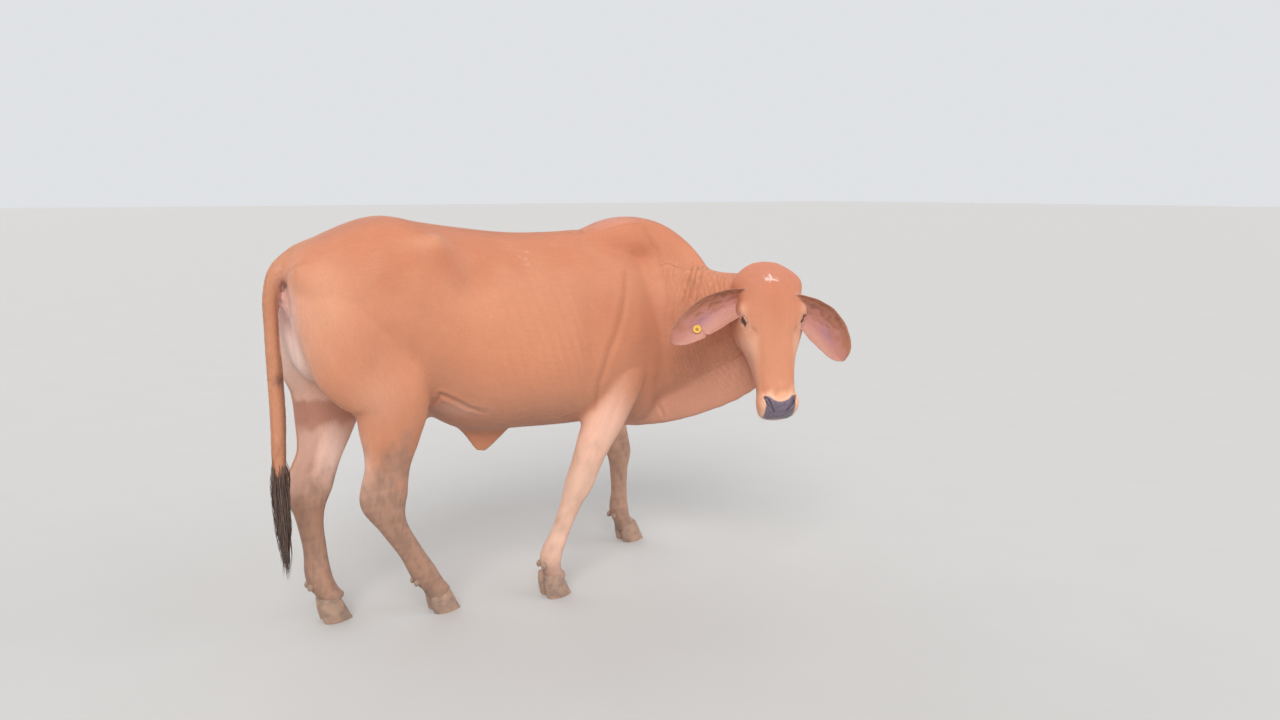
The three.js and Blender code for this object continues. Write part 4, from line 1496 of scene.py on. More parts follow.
def lie_of_coat(points, normals, guide, edges):
    """The way the hair lies at each point of the skin."""
    backward = guide.on("torso", "hump", "neck", "dewlap")[:, None]
    lie = guide.along * (1 - 2 * backward)
    droop = 0.45 * guide.on("torso", "hump") + 0.6 * guide.on("neck") + 1.1 * guide.on("dewlap")
    droop = droop * (1 - np.abs(normals[:, 2]))
    lie -= UP * droop[:, None]
    head = to_head(points)
    face = unit(head - WHORL) + DOWN_NOSE * ramp(head[:, 0], 60, 200)[:, None]
    lie = np.where(guide.on("head")[:, None] > 0, face @ HEAD_AXES, lie)
    lie = relax(unit(lie), edges, np.ones(len(points)), 14)
    lie -= normals * (lie * normals).sum(1)[:, None]
    return unit(lie)


def wobble(points, size, seed):
    """Smooth irregular values, mostly from -1 to 1, whose bumps are about size across."""
    rng = np.random.default_rng(seed)
    ways = unit(rng.normal(size=(10, 3))) * (2.4 / size) * rng.uniform(0.5, 1.8, (10, 1))
    return np.clip(np.sin(points @ ways.T + rng.uniform(0, 6.28, 10)).sum(1) / 3, -1.2, 1.2)


# Folds and creases of the right side: line, depth, width and banks, and how far its left image is moved on,
# where there is one
SHOULDER_CREASE = [
    (272, -178, 658),
    (266, -221, 759),
    (305, -226, 871),
    (343, -223, 939),
    (364, -216, 994),
    (394, -190, 1075),
    (420, -151, 1134),
]
BLADE_EDGE = [
    (547, -85, 1283),
    (560, -105, 1244),
    (578, -117, 1201),
    (586, -160, 1114),
    (580, -181, 1071),
    (575, -198, 1011),
]
TAIL_HEAD_CREASE = [(-606, -125, 1259), (-670, -131, 1221), (-720, -95, 1190), (-740, -76, 1172)]
FLANK_FOLD = [
    (-342, -181, 736),
    (-299, -125, 747),
    (-290, -155, 775),
    (-246, -162, 753),
    (-198, -168, 724),
    (-145, -177, 704),
]
FOLDS = [
    (SHOULDER_CREASE, 4, 15, 1.5, 60),
    (BLADE_EDGE, 2.6, 14, 1.4, 0),
    (TAIL_HEAD_CREASE, 5, 11, 2, 0),
    (FLANK_FOLD, 3, 10, 2.0, 0),
    ([(-690, -160, 1120), (-668, -205, 1010), (-610, -222, 880)], 4, 24, 0, 0),
    ([(-500, -225, 985), (-520, -226, 890), (-500, -220, 800)], 3, 26, 0, 0),
    ([(604, -105, 625), (623, -106, 573)], 5, 7, 2, None),
    ([(250, -62, 1268), (374, -62, 1276), (460, -64, 1292), (547, -68, 1301)], 2.5, 8, 1, None),
    ([(372, -208, 730), (330, -210, 620), (272, -198, 480)], 2.5, 14, 0, None),
]
NECK_WRINKLES = [
    ([(689, -195, 1157), (640, -230, 1086), (608, -233, 1009)], 4.0, 6.0),
    ([(702, -208, 1143), (652, -244, 1086), (626, -250, 1023)], 4.0, 5.5),
    ([(720, -215, 1143), (672, -259, 1101), (650, -271, 1053), (640, -272, 990)], 3.6, 5.5),
    ([(740, -240, 1130), (700, -285, 1090), (676, -300, 1040)], 3.0, 4.5),
    ([(757, -262, 1120), (722, -312, 1085), (700, -330, 1050)], 2.4, 4.0),
    ([(592, -222, 1080), (578, -216, 1000), (584, -214, 920)], 3.0, 8.0),
    ([(664, -300, 1010), (655, -292, 940), (652, -276, 870)], 2.4, 5.0),
    ([(640, -270, 985), (632, -262, 920), (628, -246, 850)], 2.0, 4.5),
    ([(690, -345, 985), (684, -338, 930), (682, -322, 870)], 1.8, 4.5),
]
# Lines that need a finer mesh, up to this far from them
DEEP_LINES = [line for line, *_ in NECK_WRINKLES] + [TAIL_HEAD_CREASE, FLANK_FOLD]
FINE_REACH = 20


def fold_lines():
    """Every fold of both sides: line, depth, width, bank."""
    for line, depth, width, bank, forward in FOLDS:
        line = np.array(line, float)
        yield line, depth, width, bank
        if forward is not None:
            yield mirrored(line, -1) + (forward, 0, 0), depth, width, bank
    for line, depth, width in NECK_WRINKLES:
        yield np.array(line, float), depth, width, depth * 0.4


def near_folds(points):
    """Where the body's skin has folds finer than its mesh."""
    picked = np.zeros(len(points), bool)
    for line in DEEP_LINES:
        for side in SIDES:
            image = mirrored(line, side)
            box = within(points, image, FINE_REACH)
            picked[box] |= line_distance(points[box], image)[0] < FINE_REACH
    return picked


# Bones and muscles that show through the skin of both sides: place, reach, push
MUSCLES = [
    ((-300, 192, 1272), (26, 30, 24), (0, 4, 6)),
    ((-705, 128, 1190), (30, 26, 30), (-4, 4, 5)),
    ((-500, 222, 1120), (70, 40, 50), (0, -7, 0)),
    ((-395, 190, 830), (46, 30, 60), (6, 6, 0)),
    ((-560, 225, 960), (70, 40, 110), (0, 6, 0)),
    ((-150, 235, 1170), (70, 50, 50), (0, -8, -3)),
    ((455, 200, 930), (60, 40, 70), (0, 8, 0)),
    ((370, 222, 830), (55, 40, 80), (0, 7, 0)),
    ((470, 165, 1140), (30, 60, 90), (0, 4, 0)),
]
# Height of the ribs on the hide, how far apart they are, where they start, and how far back they slant
RIB_HEIGHT = 1.6
RIB_SPACING = 40.0
RIBS_FROM = -175
RIB_SLANT = 0.28


def ribs(points, normals):
    """The last ribs, faint under the hide, slanting back as they go down."""
    x, _, z = points.T
    place = (x - RIB_SLANT * (1000 - z) - RIBS_FROM) / RIB_SPACING
    wave = np.cos(place * 2 * math.pi) * 0.5
    hold = ramp(x, -150, -60) * (1 - ramp(x, 150, 250)) * ramp(z, 720, 840) * (1 - ramp(z, 1060, 1180))
    side = ramp(np.abs(normals[:, 1]), 0.6, 0.9)
    return normals * (RIB_HEIGHT * wave * hold * side)[:, None]


def leg_relief(points, normals, guide):
    """Hollows above the hocks, grooves along the cannons, and the joints' bones."""
    angle, z = np.abs(guide.angle), points[:, 2]
    hind, fore = guide.on(*HIND_NAMES), guide.on(*FORE_NAMES)
    legs = hind + fore
    knee_or_hock = np.where(hind > 0, 400.0, 330.0)
    cannon = legs * ramp(z, 150, 190) * (1 - ramp(z, knee_or_hock - 50, knee_or_hock))
    hock = hind * bell(z, 440, 42)
    knee = fore * bell(z, 385, 34)
    cleft = legs * (1 - ramp(z, 78, 116))
    push = -9.0 * hind * bell(angle, 2.05, 0.34) * ramp(z, 470, 520) * (1 - ramp(z, 580, 680))
    # Part of the leg, height of a ridge (less than 0 for a groove), its angle from the front and its width
    for share, height, at, width in (
        (cannon, -3.2, 1.95, 0.3),
        (cannon, 1.6, 2.7, 0.35),
        (cannon, 1.4, 1.0, 0.5),
        (hock, 4.0, math.pi, 0.5),
        (hock, -3.0, 2.2, 0.3),
        (hind * bell(z, 400, 26), 3.0, 1.35, 0.4),
        (knee, 3.2, 0.55, 0.4),
        (knee, -2.2, 1.35, 0.3),
        (fore * bell(z, 405, 30), 3.0, 2.9, 0.5),
        (legs * bell(z, 142, 20), 2.4, 1.3, 0.45),
        (legs * bell(z, 104, 12), -2.0, 0.2, 0.7),
        (cleft, -6.0, 0, 0.16),
        (cleft, -4.0, math.pi, 0.2),
    ):
        push += height * share * bell(angle, at, width)
    return normals * push[:, None]


# Veins of both sides: line, height and width
VEINS = [
    ([(300, -207, 640), (276, -203, 560), (262, -196, 500), (240, -190, 440)], 1.6, 5.0),
    ([(-150, -150, 640), (-60, -140, 622), (30, -150, 625), (120, -165, 640), (190, -178, 668)], 2.0, 8.0),
    ([(-448, -205, 700), (-470, -192, 640), (-478, -178, 590)], 1.4, 5.0),
]


def body_relief(skin):
    """Presses folds, bones and muscles into the joined skin."""
    refine(skin, near_folds)
    points, normals = points_of(skin.data), normals_of(skin.data)
    guide = Guides(points)
    off_head = 1 - guide.on("head", *EAR_NAMES)
    shaped = points.copy()
    swellings(shaped, MUSCLES)
    for line, depth, width, bank in fold_lines():
        crease(shaped, normals, line, depth, width, bank)
    for line, height, width in VEINS:
        for side in SIDES:
            crease(shaped, normals, mirrored(line, side), -height, width)
    shaped += ribs(points, normals) + leg_relief(points, normals, guide)
    points += (shaped - points) * off_head[:, None]
    set_points(skin.data, points)


# Colours of the coat, as the daylight of the photograph leaves them

GROUND_TONE = "#c88463"
# Places of the light scratches on the barrel
SCARS = [(45, -130, 1216), (28, -154, 1195), (29, -167, 1179), (10, -146, 1205)]
# The bare pad's half width and lower edge, and the round dip in its upper edge
PAD_HALF = 52.0
PAD_LOW = -30.0
PAD_DIP_AT = 437.0
PAD_DIP_RADIUS = 49.0


class Paint:
    """Colours laid over one another at the points of the skin, how bare each is, and what they depend on."""

    def __init__(self, points, normals, guide, edges):
        self.points, self.normals, self.guide, self.edges = points, normals, guide, edges
        self.rough, self.fine = wobble(points, 60, 1), wobble(points, 22, 2)
        self.colour = np.tile(srgb(GROUND_TONE), (len(points), 1))
        self.bare = np.zeros(len(points))

    def over(self, tone, share):
        self.colour += (srgb(tone) - self.colour) * np.clip(share, 0, 1)[:, None]

    def patch(self, tone, at, reach, share, on=1.0):
        """A soft patch on each side of the body."""
        self.over(tone, on * near_both(self.points, at, reach) * share)

    def strip(self, share):
        """Leaves the skin bare by a share."""
        self.bare = np.maximum(self.bare, share)

    def soft(self, *names):
        """1 on the named forms, fading out at their border."""
        return soften(self.guide.on(*names), self.edges)


def pad_distance(head):
    """How far a point of the muzzle is outside the bare nose pad's edge, less than 0 on it."""
    x, y, z = head.T
    low = PAD_LOW + 0.006 * y**2 - z
    return np.max([PAD_DIP_RADIUS - np.hypot(x - PAD_DIP_AT, y), np.abs(y) - PAD_HALF, low], axis=0)


def nose_pad_share(head):
    """1 on the bare nose pad, between and round the nostrils."""
    return (1 - ramp(pad_distance(head), -2.0, 2.0)) * ramp(head[:, 0], 462, 468)


def soften(share, edges):
    """A share of the skin that fades out over about 5 cm at its border."""
    return relax(share[:, None].copy(), edges, np.ones(len(share)), 60)[:, 0]


def paint_trunk(paint):
    """A darker back and shoulder, paler flanks, belly and quarters, a pinkish dewlap, painted shade low on the
    neck and in the flank hollows, and a painted highlight on the hook bones.
    """
    points, rough = paint.points, paint.rough
    _, y, z = points.T
    trunk = paint.soft(*TRUNK_NAMES)
    paint.over("#c07452", trunk * ramp(z + 40 * rough, 1080, 1260) * 0.6)
    for side in SIDES:
        paint.over("#cf8760", trunk * near(points, (-40, side * 240, 960), (260, 120, 130)) * 0.4)
    paint.over("#c28a70", trunk * ramp(-paint.normals[:, 2], 0.1, 0.8) * 0.7)
    paint.over("#d08f7c", near(points, (440, 0, 1330), (140, 90, 50)) * ramp(y, -74, -56) * 0.9)
    paint.patch("#b5674a", (470, 120, 1200), (120, 60, 70), 0.2)
    paint.patch("#b86a4a", (330, 220, 1000), (130, 90, 150), 0.35)
    # Painted shade low on the neck, under the head.
    paint.over("#b87860", paint.soft("neck") * ramp(1080 - z, 0, 120) * 0.35)
    hanging = paint.soft("dewlap")
    paint.over("#cf957d", ramp(hanging, 0.1, 0.95) * ramp(930 + 40 * rough - z, 0, 90) * 0.75)
    paint.patch("#e0a583", (-650, 180, 1090), (80, 90, 150), 0.4)
    # Painted highlight on the hook bones.
    paint.patch("#dba27f", (-330, 190, 1265), (80, 40, 22), 0.3)
    paint.patch("#b8785a", (-545, 220, 980), (70, 70, 110), 0.3)
    # Painted shade in the flank hollows behind the ribs.
    paint.patch("#b8785a", (-60, 230, 1150), (80, 70, 40), 0.3, 0.6 + 0.4 * rough)
    paint.patch("#d99e80", (-520, 215, 790), (80, 60, 90), 0.5)


def paint_legs(paint):
    """Pale forelegs and inner thighs, the pale skin between the thighs, a painted highlight on the inner gaskins,
    and painted shade high on the inner thighs.
    """
    points, guide, fine = paint.points, paint.guide, paint.fine
    x, _, z = points.T
    hind = guide.on(*HIND_NAMES)
    inward = -paint.normals[:, 1] * np.where(guide.on("hind_right", "fore_right") > 0, -1.0, 1.0)
    foreleg = ramp(paint.soft(*FORE_NAMES), 0.3, 1)
    paint.over("#e8b79f", foreleg * ramp(740 - z, 0, 200) * 0.85)
    paint.patch("#f2c4b0", (318, 215, 650), (80, 60, 130), 0.5, foreleg)
    paint.over("#e0b09a", hind * ramp(inward, 0.05, 0.55) * ramp(z, 370, 470))
    # Painted highlight on the inner gaskins.
    paint.patch("#f4cfbf", (-560, 95, 560), (50, 60, 105), 1, hind)
    # Painted shade high on the inner thighs, below the pale skin between them.
    upper = ramp(z + 10 * fine, 640, 690) * (1 - ramp(z + 6 * fine, 745, 765))
    paint.over("#b9806a", hind * ramp(inward, -0.2, 0.4) * upper * 0.85)
    off_tail = 1 - guide.on("tail") * ramp(-x, 738, 746)
    paint.over("#f8d8ca", 1.7 * near(points, (-750, 0, 910), (90, 105, 150)) * ramp(z, 745, 765) * off_tail)
    paint.over("#dcae98", near(points, UDDER_AT, (110, 80, 80)))
    paint.patch("#d3a08c", (-255, 150, 712), (85, 60, 30), 0.85)
    paint.over("#d3a28a", guide.on(*FORE_NAMES) * ramp(inward, 0.1, 0.6) * ramp(z, 400, 560) * 0.6)


def paint_tail(paint):
    """A tail with painted shade on its side towards the body, brown towards its end, and the bare skin below its
    root.
    """
    points, guide, fine = paint.points, paint.guide, paint.fine
    x, _, z = points.T
    groove = ramp(x, -746, -738) * ramp(1210 - z, 0, 20) * ramp(z, 920, 940)
    tail = guide.on("tail") * (1 - groove)
    off_tail = 1 - tail
    paint.over("#c48866", tail * 0.6)
    # Painted shade on the tail's side towards the body, from a little below its root.
    paint.over("#94624a", tail * ramp(-guide.local[:, 1], 0, 14) * ramp(guide.share, 0.12, 0.3) * 0.6)
    paint.over("#86583f", tail * ramp(620 + 40 * fine - z, 0, 80))
    paint.over("#56453c", tail * ramp(560 + 30 * fine - z, 0, 60))
    paint.over("#7a5146", near(points, (-748, -22, 852), (16, 16, 20)) * tail)
    paint.over("#bd8a80", near(points, (-765, 0, 1075), (40, 50, 90)) * off_tail * ramp(1180 - z, 0, 40))
    paint.patch("#e2b5a9", (-742, 88, 1055), (34, 34, 80), 0.9, off_tail)
    paint.over("#e2b5a9", near(points, (-712, 0, 1060), (30, 90, 90)) * off_tail * 0.8)
    paint.strip(near(points, UDDER_AT, (100, 75, 80)) * 0.7)
    paint.strip(near(points, (-778, 0, 1085), (26, 40, 60)) * off_tail * 0.7)


# How high the mud reaches on each leg
MUD_TOPS = {"hind_right": 590, "hind_left": 490, "fore_right": 420, "fore_left": 520}


def paint_mud(paint):
    """Dried mud on the lower legs."""
    points, guide, rough, fine = paint.points, paint.guide, paint.rough, paint.fine
    z = points[:, 2]
    legs, stretched = guide.on(*LEG_NAMES), guide.on("fore_right")
    top = sum(height * guide.on(name) for name, height in MUD_TOPS.items())
    mud = legs * ramp(top + 45 * rough + 28 * fine - z, -110, 150)
    spots = ramp(wobble(points, 13, 3) + 0.6 * rough, -0.2, 0.7)
    paint.over("#a5826e", mud * 0.85)
    paint.over("#8b6b5c", mud * spots * 0.45)
    paint.patch("#d9b199", (200, 150, 385), (70, 60, 50), 0.55, legs)
    paint.over("#dcb19a", stretched * ramp(600 - z, 0, 220) * (0.8 + 0.15 * fine))
    paint.over("#a78474", stretched * ramp(150 + 12 * fine - z, 0, 60) * 0.7)
    paint.over("#8f7767", legs * (1 - 0.7 * stretched) * ramp(120 - z, 0, 60) * 0.5)


def paint_folds(paint):
    """A little dust and shade in the folds, and the light scratches."""
    points = paint.points
    for line, depth, width, bank in fold_lines():
        box = within(points, line, 3 * width)
        share = np.zeros(len(points))
        share[box] = bell(line_distance(points[box], line)[0], 0, 0.5 * width)
        paint.over("#a5674c", share * min(0.4, 0.1 * depth) * (bank > 0))
    paint.over("#e8c3ac", sum(near(points, at, (6, 6, 4)) for at in SCARS) * 0.35)


def paint_head(paint):
    """Paler cheeks and throat, both sides of the face, the star, and painted shade down the middle of the
    forehead and in the nostrils.
    """
    guide = paint.guide
    head = to_head(paint.points)
    on = np.where(guide.on(*EAR_NAMES) > 0, 0, paint.soft("head", *EAR_NAMES))
    on = on * (np.linalg.norm(head - (260, 0, 0), axis=1) < 400)
    paint.over("#b96d50", on * (1 - ramp(head[:, 0], 120, 260)) * 0.5)
    paint.over("#c07b66", on * near(head, (20, 0, 60), (60, 70, 60)) * 0.5)
    # Painted shade down the middle of the forehead, between its ridges.
    paint.over("#bf6f50", on * near(head, (150, 6, 90), (80, 20, 40)) * 0.35)
    paint.over("#dfac92", on * ramp(np.abs(head[:, 1]), 50, 80) * ramp(head[:, 0], 200, 300) * 0.7)
    paint.over("#d9a082", on * ramp(-head[:, 2], 60, 110) * 0.7)
    paint_muzzle(paint, head, on)
    for side in SIDES:
        nostril, share = line_distance(head, mirrored(NOSTRIL, side))
        radius = nostril_radius(share)
        # Painted shade in the nostrils' openings.
        paint.over("#3d2829", on * (1 - ramp(nostril, radius * 0.6, radius * 1.15)) * 0.9)
        paint_eye(paint, head, on, side)
        paint.strip(on * (1 - ramp(nostril, 7, 10)))
        paint_ear(paint, side)
    paint.over("#ead2c6", on * star(head, paint.fine) * 0.72)
    paint.strip(0.5 * inner_ear(paint.normals, guide))


def paint_muzzle(paint, head, on):
    """A pale muzzle round the grey pad, the dark lips, and painted shade in the line of the mouth."""
    x, _, z = head.T
    paint.over("#dfa27e", on * ramp(x + 16 * paint.fine, 420, 485) * 0.9)
    paint.over("#eab99c", on * bell(pad_distance(head), 5, 9) * ramp(x, 440, 470) * 0.8)
    paint.over("#d3a693", on * ramp(x, 470, 505) * ramp(-z, 34, 52) * 0.8)
    lips = line_distance(head, whole_mouth())[0]
    paint.over("#8f6d64", on * (1 - ramp(lips, 3, 9)) * 0.7)
    # Painted shade in the line of the mouth, inside the dark lips.
    paint.over("#453432", on * (1 - ramp(lips, 1.2, 3.2)))
    pad = nose_pad_share(head) * on
    paint.over("#857987", pad)
    paint.over("#6a5f6c", pad * ramp(wobble(head, 9, 5), 0, 0.8) * 0.4)
    paint.strip(pad)
    paint.strip(on * (1 - ramp(lips, 4, 8)) * 0.6)


def paint_eye(paint, head, on, side):
    """A painted highlight on the brow, a pale ring round an eye, painted shade in the folds round its lids, and
    the dark rims of its lids.
    """
    edge, above, radius, along = lid_distance(head, side)
    by_eye = on * (radius < 62)
    # Painted highlight on the brow ridge.
    paint.over("#e6b293", by_eye * near(head, mirrored((168, 110, 64), side), (26, 16, 16)) * 0.4)
    paint.over("#dca78e", by_eye * near(head, mirrored((229, 99, 50), side), (22, 14, 14)) * 0.35)
    paint.over("#a8684e", on * near(head, mirrored((238, 74, 64), side), (15, 13, 16)) * 0.4)
    paint.over("#d29f86", by_eye * bell(edge, 9, 7) * np.where(above > 0, 0.5, 0.4))
    # Painted shade in the folds above and below the lids.
    paint.over("#8a5f4d", by_eye * bell(edge, 8.5, 1.8) * 0.4)
    paint.over("#70463a", by_eye * (1 - ramp(edge, 1.0, 3.4)) * (1 - 0.7 * ramp(np.abs(along), 14, 19)))
    paint.strip(by_eye * (1 - ramp(edge, 2.0, 4.0)))


# The star's arms: line and half width
STAR_ARMS = [([(66, -16, 0), (67, 4, 0), (72, 24, 0)], 5), ([(50, -3, 0), (66, 2, 0), (80, -12, 0)], 4.5)]


def star(head, fine):
    """1 on the small pale patch of the forehead, with a ragged edge."""
    shares = []
    for line, width in STAR_ARMS:
        far, share = line_distance(head * (1, 1, 0), line)
        far = far / (width * (1.3 - share) * (1 + 0.45 * fine))
        shares.append((1 - ramp(far, 0.6, 1.4)) * ramp(head[:, 2], 30, 50))
    return np.max(shares, axis=0)


def inner_ear(normals, guide):
    """1 on the hollow face of an ear."""
    return guide.on(*EAR_NAMES) * ramp((normals * guide.lift).sum(1), -0.1, 0.35)


def ear_across(guide, side, least):
    """How far across an ear each point lies, as a share of its half width, taken as least or more."""
    half = course(EARS[side]["rows"])(guide.share)[:, 3]
    return guide.local[:, 0] / np.maximum(half, least)


def paint_ear(paint, side):
    """A red back, and a greyish pink hollow with darker ribs and painted shade at its root."""
    guide, fine = paint.guide, paint.fine
    on = guide.on(f"ear_{HANDS[side]}")
    inner = on * inner_ear(paint.normals, guide)
    across, share = ear_across(guide, side, 5), guide.share
    up = across * np.sign(guide.left[:, 2] + 1e-9)
    ribs = ramp(np.sin(across * 16 + 2 * fine), 0.1, 0.9) * ramp(up, -0.4, 0.4) * (1 - ramp(share, 0.5, 0.85))
    paint.over("#bd7858", on)
    paint.over("#c58576", inner)
    paint.over("#a97c90", inner * near(np.stack([up, share], 1), (-0.1, 0.62), (0.3, 0.12)) * 0.6)
    paint.over("#d39a88", inner * ramp(-up, 0.15, 0.8) * 0.7)
    paint.over("#b87a5e", inner * ramp(up + 0.3 * fine, 0.1, 0.7) * 0.9)
    paint.over("#84503e", inner * ribs * 0.5)
    # Painted shade in the hollow near the ear's root.
    paint.over("#86543f", inner * (1 - ramp(share, 0.06, 0.2)) * ramp(share, 0, 0.05) * 0.35)
    paint.over("#d2987f", on * ramp(np.abs(across), 0.86, 0.98) * 0.7)


def markings(points, normals, guide, edges):
    """Colour and bareness of the skin at each point."""
    paint = Paint(points, normals, guide, edges)
    for layer in (paint_trunk, paint_legs, paint_tail, paint_mud, paint_folds, paint_head):
        layer(paint)
    return paint.colour, paint.bare


def pleats(points, guide, edges):
    """How far the neck and the dewlap are drawn into fine upright pleats, whose bumps the hide also paints with
    light and shade.
    """
    x, _, z = points.T
    here = soften(guide.on("neck", "dewlap"), edges)
    return here * ramp(x, 560, 620) * (0.65 + 0.35 * ramp(z, 900, 1050)) * ramp(z, 660, 760)


# How the streaks of the skin are drawn out along the hair, and how far one form's are moved from the next's
GRAIN_STRETCH = 0.11
GRAIN_SHIFT = 50


def hide_material():
    """Short glossy hair lying flat, drawn as streaks along its lie, with painted light and shade on the neck's
    pleats, and bare skin with pores and pebbles, painted darker in the crevices between them.
    """
    shader = Shader("short_hair", roughness=0.62, specular=0.32, sheen=0.12)
    shader.surface.inputs["Sheen Roughness"].default_value = 0.45
    marks = shader.attribute("Markings").outputs["Color"]
    grain = shader.attribute("Grain").outputs["Vector"]
    bare = shader.attribute("Bare").outputs["Fac"]
    pleated = shader.attribute("Pleats").outputs["Fac"]
    streak = shader.noise(grain, 0.75, 3, 0.6)
    broad = shader.noise(grain, 0.085, 4, 0.6)
    patch = shader.noise(shader.place(), 9, 5, 0.6)
    along = shader.node("ShaderNodeVectorMath", {0: grain, 1: (0.02, 0.02, 1.0)}, operation="MULTIPLY")
    pleat = shader.between(shader.noise(along.outputs[0], 1.25, 2, 0.5), 0.36, 0.64)
    # Painted light and shade: the pleats' ridges lighter and their troughs darker, following their bumps.
    painted_pleat_shading = shader.between(pleat, 0, 1, 0.84, 1.08)
    tone = shader.between(streak, 0.3, 0.7, 0.92, 1.07)
    for factor in (
        shader.between(broad, 0.3, 0.7, 0.97, 1.03),
        shader.between(patch, 0.3, 0.7, 0.96, 1.04),
        shader.between(pleated, 0, 1, 1.0, painted_pleat_shading),
    ):
        tone = shader.math("MULTIPLY", tone, factor)
    hairy = shader.shade(marks, tone)
    cells = shader.node("ShaderNodeTexVoronoi", {"Vector": shader.place(), "Scale": 330.0})
    pores = cells.outputs["Distance"]
    # Painted shade: bare skin darker in the crevices between the pebbles, where their bumps are low.
    deep = shader.mix(1.0, marks, (0.7, 0.66, 0.68), "MULTIPLY")
    naked = shader.mix(shader.between(pores, 0.1, 0.6), marks, deep)
    shader.link(shader.mix(bare, hairy, naked), "Base Color")
    rough = shader.between(streak, 0.3, 0.7, 0.55, 0.72)
    shader.link(shader.between(bare, 0, 1, rough, 0.36), "Roughness")
    hair_bump = shader.bump(streak, 0.32, 0.0008)
    hair_bump = shader.bump(broad, 0.14, 0.002, hair_bump)
    hair_bump = shader.bump(shader.math("MULTIPLY", pleat, pleated), 0.6, 0.003, hair_bump)
    pebbles = shader.bump(shader.math("SUBTRACT", 1.0, pores), 0.5, 0.0009)
    bumps = {"Factor": bare, 4: hair_bump, 5: pebbles}
    normal = shader.node("ShaderNodeMix", bumps, data_type="VECTOR", factor_mode="UNIFORM")
    shader.link(normal.outputs[1], "Normal")
    return shader.material


def hair_material(name, roughness=0.55):
    """Hair of the coat's colour, streaked along its length."""
    shader = Shader(name, roughness=roughness, specular=0.35, sheen=0.1)
    fine = shader.noise(shader.place(), 420, 3)
    tone = shader.between(fine, 0.3, 0.7, 0.93, 1.07)
    shader.link(shader.shade(shader.attribute("Markings").outputs["Color"], tone), "Base Color")
    shader.link(shader.between(fine, 0.3, 0.7, roughness - 0.08, roughness + 0.1), "Roughness")
    shader.link(shader.bump(fine, 0.3, 0.0003), "Normal")
    return shader.material


# Coat: flat tufts over the whole skin

def sow(points, triangles, density, rng):
    """Roots spread by a density in tufts a square centimetre: each one's corners of a triangle, and shares."""
    a, b, c = points[triangles].transpose(1, 0, 2)
    area = np.linalg.norm(np.cross(b - a, c - a), axis=1) / 200
    total = np.cumsum(area * density[triangles].mean(1))
    count = int(total[-1])
    picked = np.minimum(np.searchsorted(total, np.arange(count) + rng.random(count)), len(triangles) - 1)
    a, b = rng.random((2, count))
    over = a + b > 1
    a[over], b[over] = 1 - a[over], 1 - b[over]
    return triangles[picked], np.stack([1 - a - b, a, b], 1)


class Hide:
    """The skin's shape and all that its hair needs to know at each point."""

    def __init__(self, skin, guide):
        self.points, self.normals = points_of(skin.data), normals_of(skin.data)
        self.edges, self.triangles = edges_of(skin.data), triangles_of(skin.data)
        self.guide = guide
        self.lie = lie_of_coat(self.points, self.normals, guide, self.edges)
        self.colour, self.bare = markings(self.points, self.normals, guide, self.edges)
        self.tree = BVHTree.FromPolygons(self.points.tolist(), self.triangles.tolist())
        set_attribute(skin.data, "Markings", "FLOAT_COLOR", with_alpha(self.colour))
        set_attribute(skin.data, "Bare", "FLOAT", self.bare)
        set_attribute(skin.data, "Pleats", "FLOAT", pleats(self.points, guide, self.edges))
        grain = guide.local * (1, 1, GRAIN_STRETCH) + guide.form[:, None] * GRAIN_SHIFT
        set_attribute(skin.data, "Grain", "FLOAT_VECTOR", grain)

    def at(self, field, corners, shares):
        return (field[corners] * (shares[..., None] if field.ndim > 1 else shares)).sum(1)

    def hug(self, places, height):
        """Places moved onto the skin and raised over it."""
        found = [self.tree.find_nearest(place)[:2] for place in places.tolist()]
        onto = np.array([tuple(place) for place, _ in found])
        normal = np.array([tuple(way) for _, way in found])
        return onto + normal * height[:, None], normal


def unwrapped(hide, corners, shares):
    """Places on a map of the forms: their length to the right, and a band each for the way round them."""
    forms, band = np.unique(hide.guide.form[corners[:, 0]], return_inverse=True)
    share = hide.at(hide.guide.share, corners, shares)
    share = (share - share.min()) / max(np.ptp(share), 1e-3)
    turn = hide.guide.angle[corners[:, 0]] / (2 * math.pi) + 0.5
    return 0.005 + 0.99 * np.stack([share, band / len(forms) + turn / len(forms)], 1)


# Thickness of a tuft as a share of its half width, and how much lighter its tip is than its root
TUFT_THICKNESS = 0.35
TUFT_TIP = 1.04


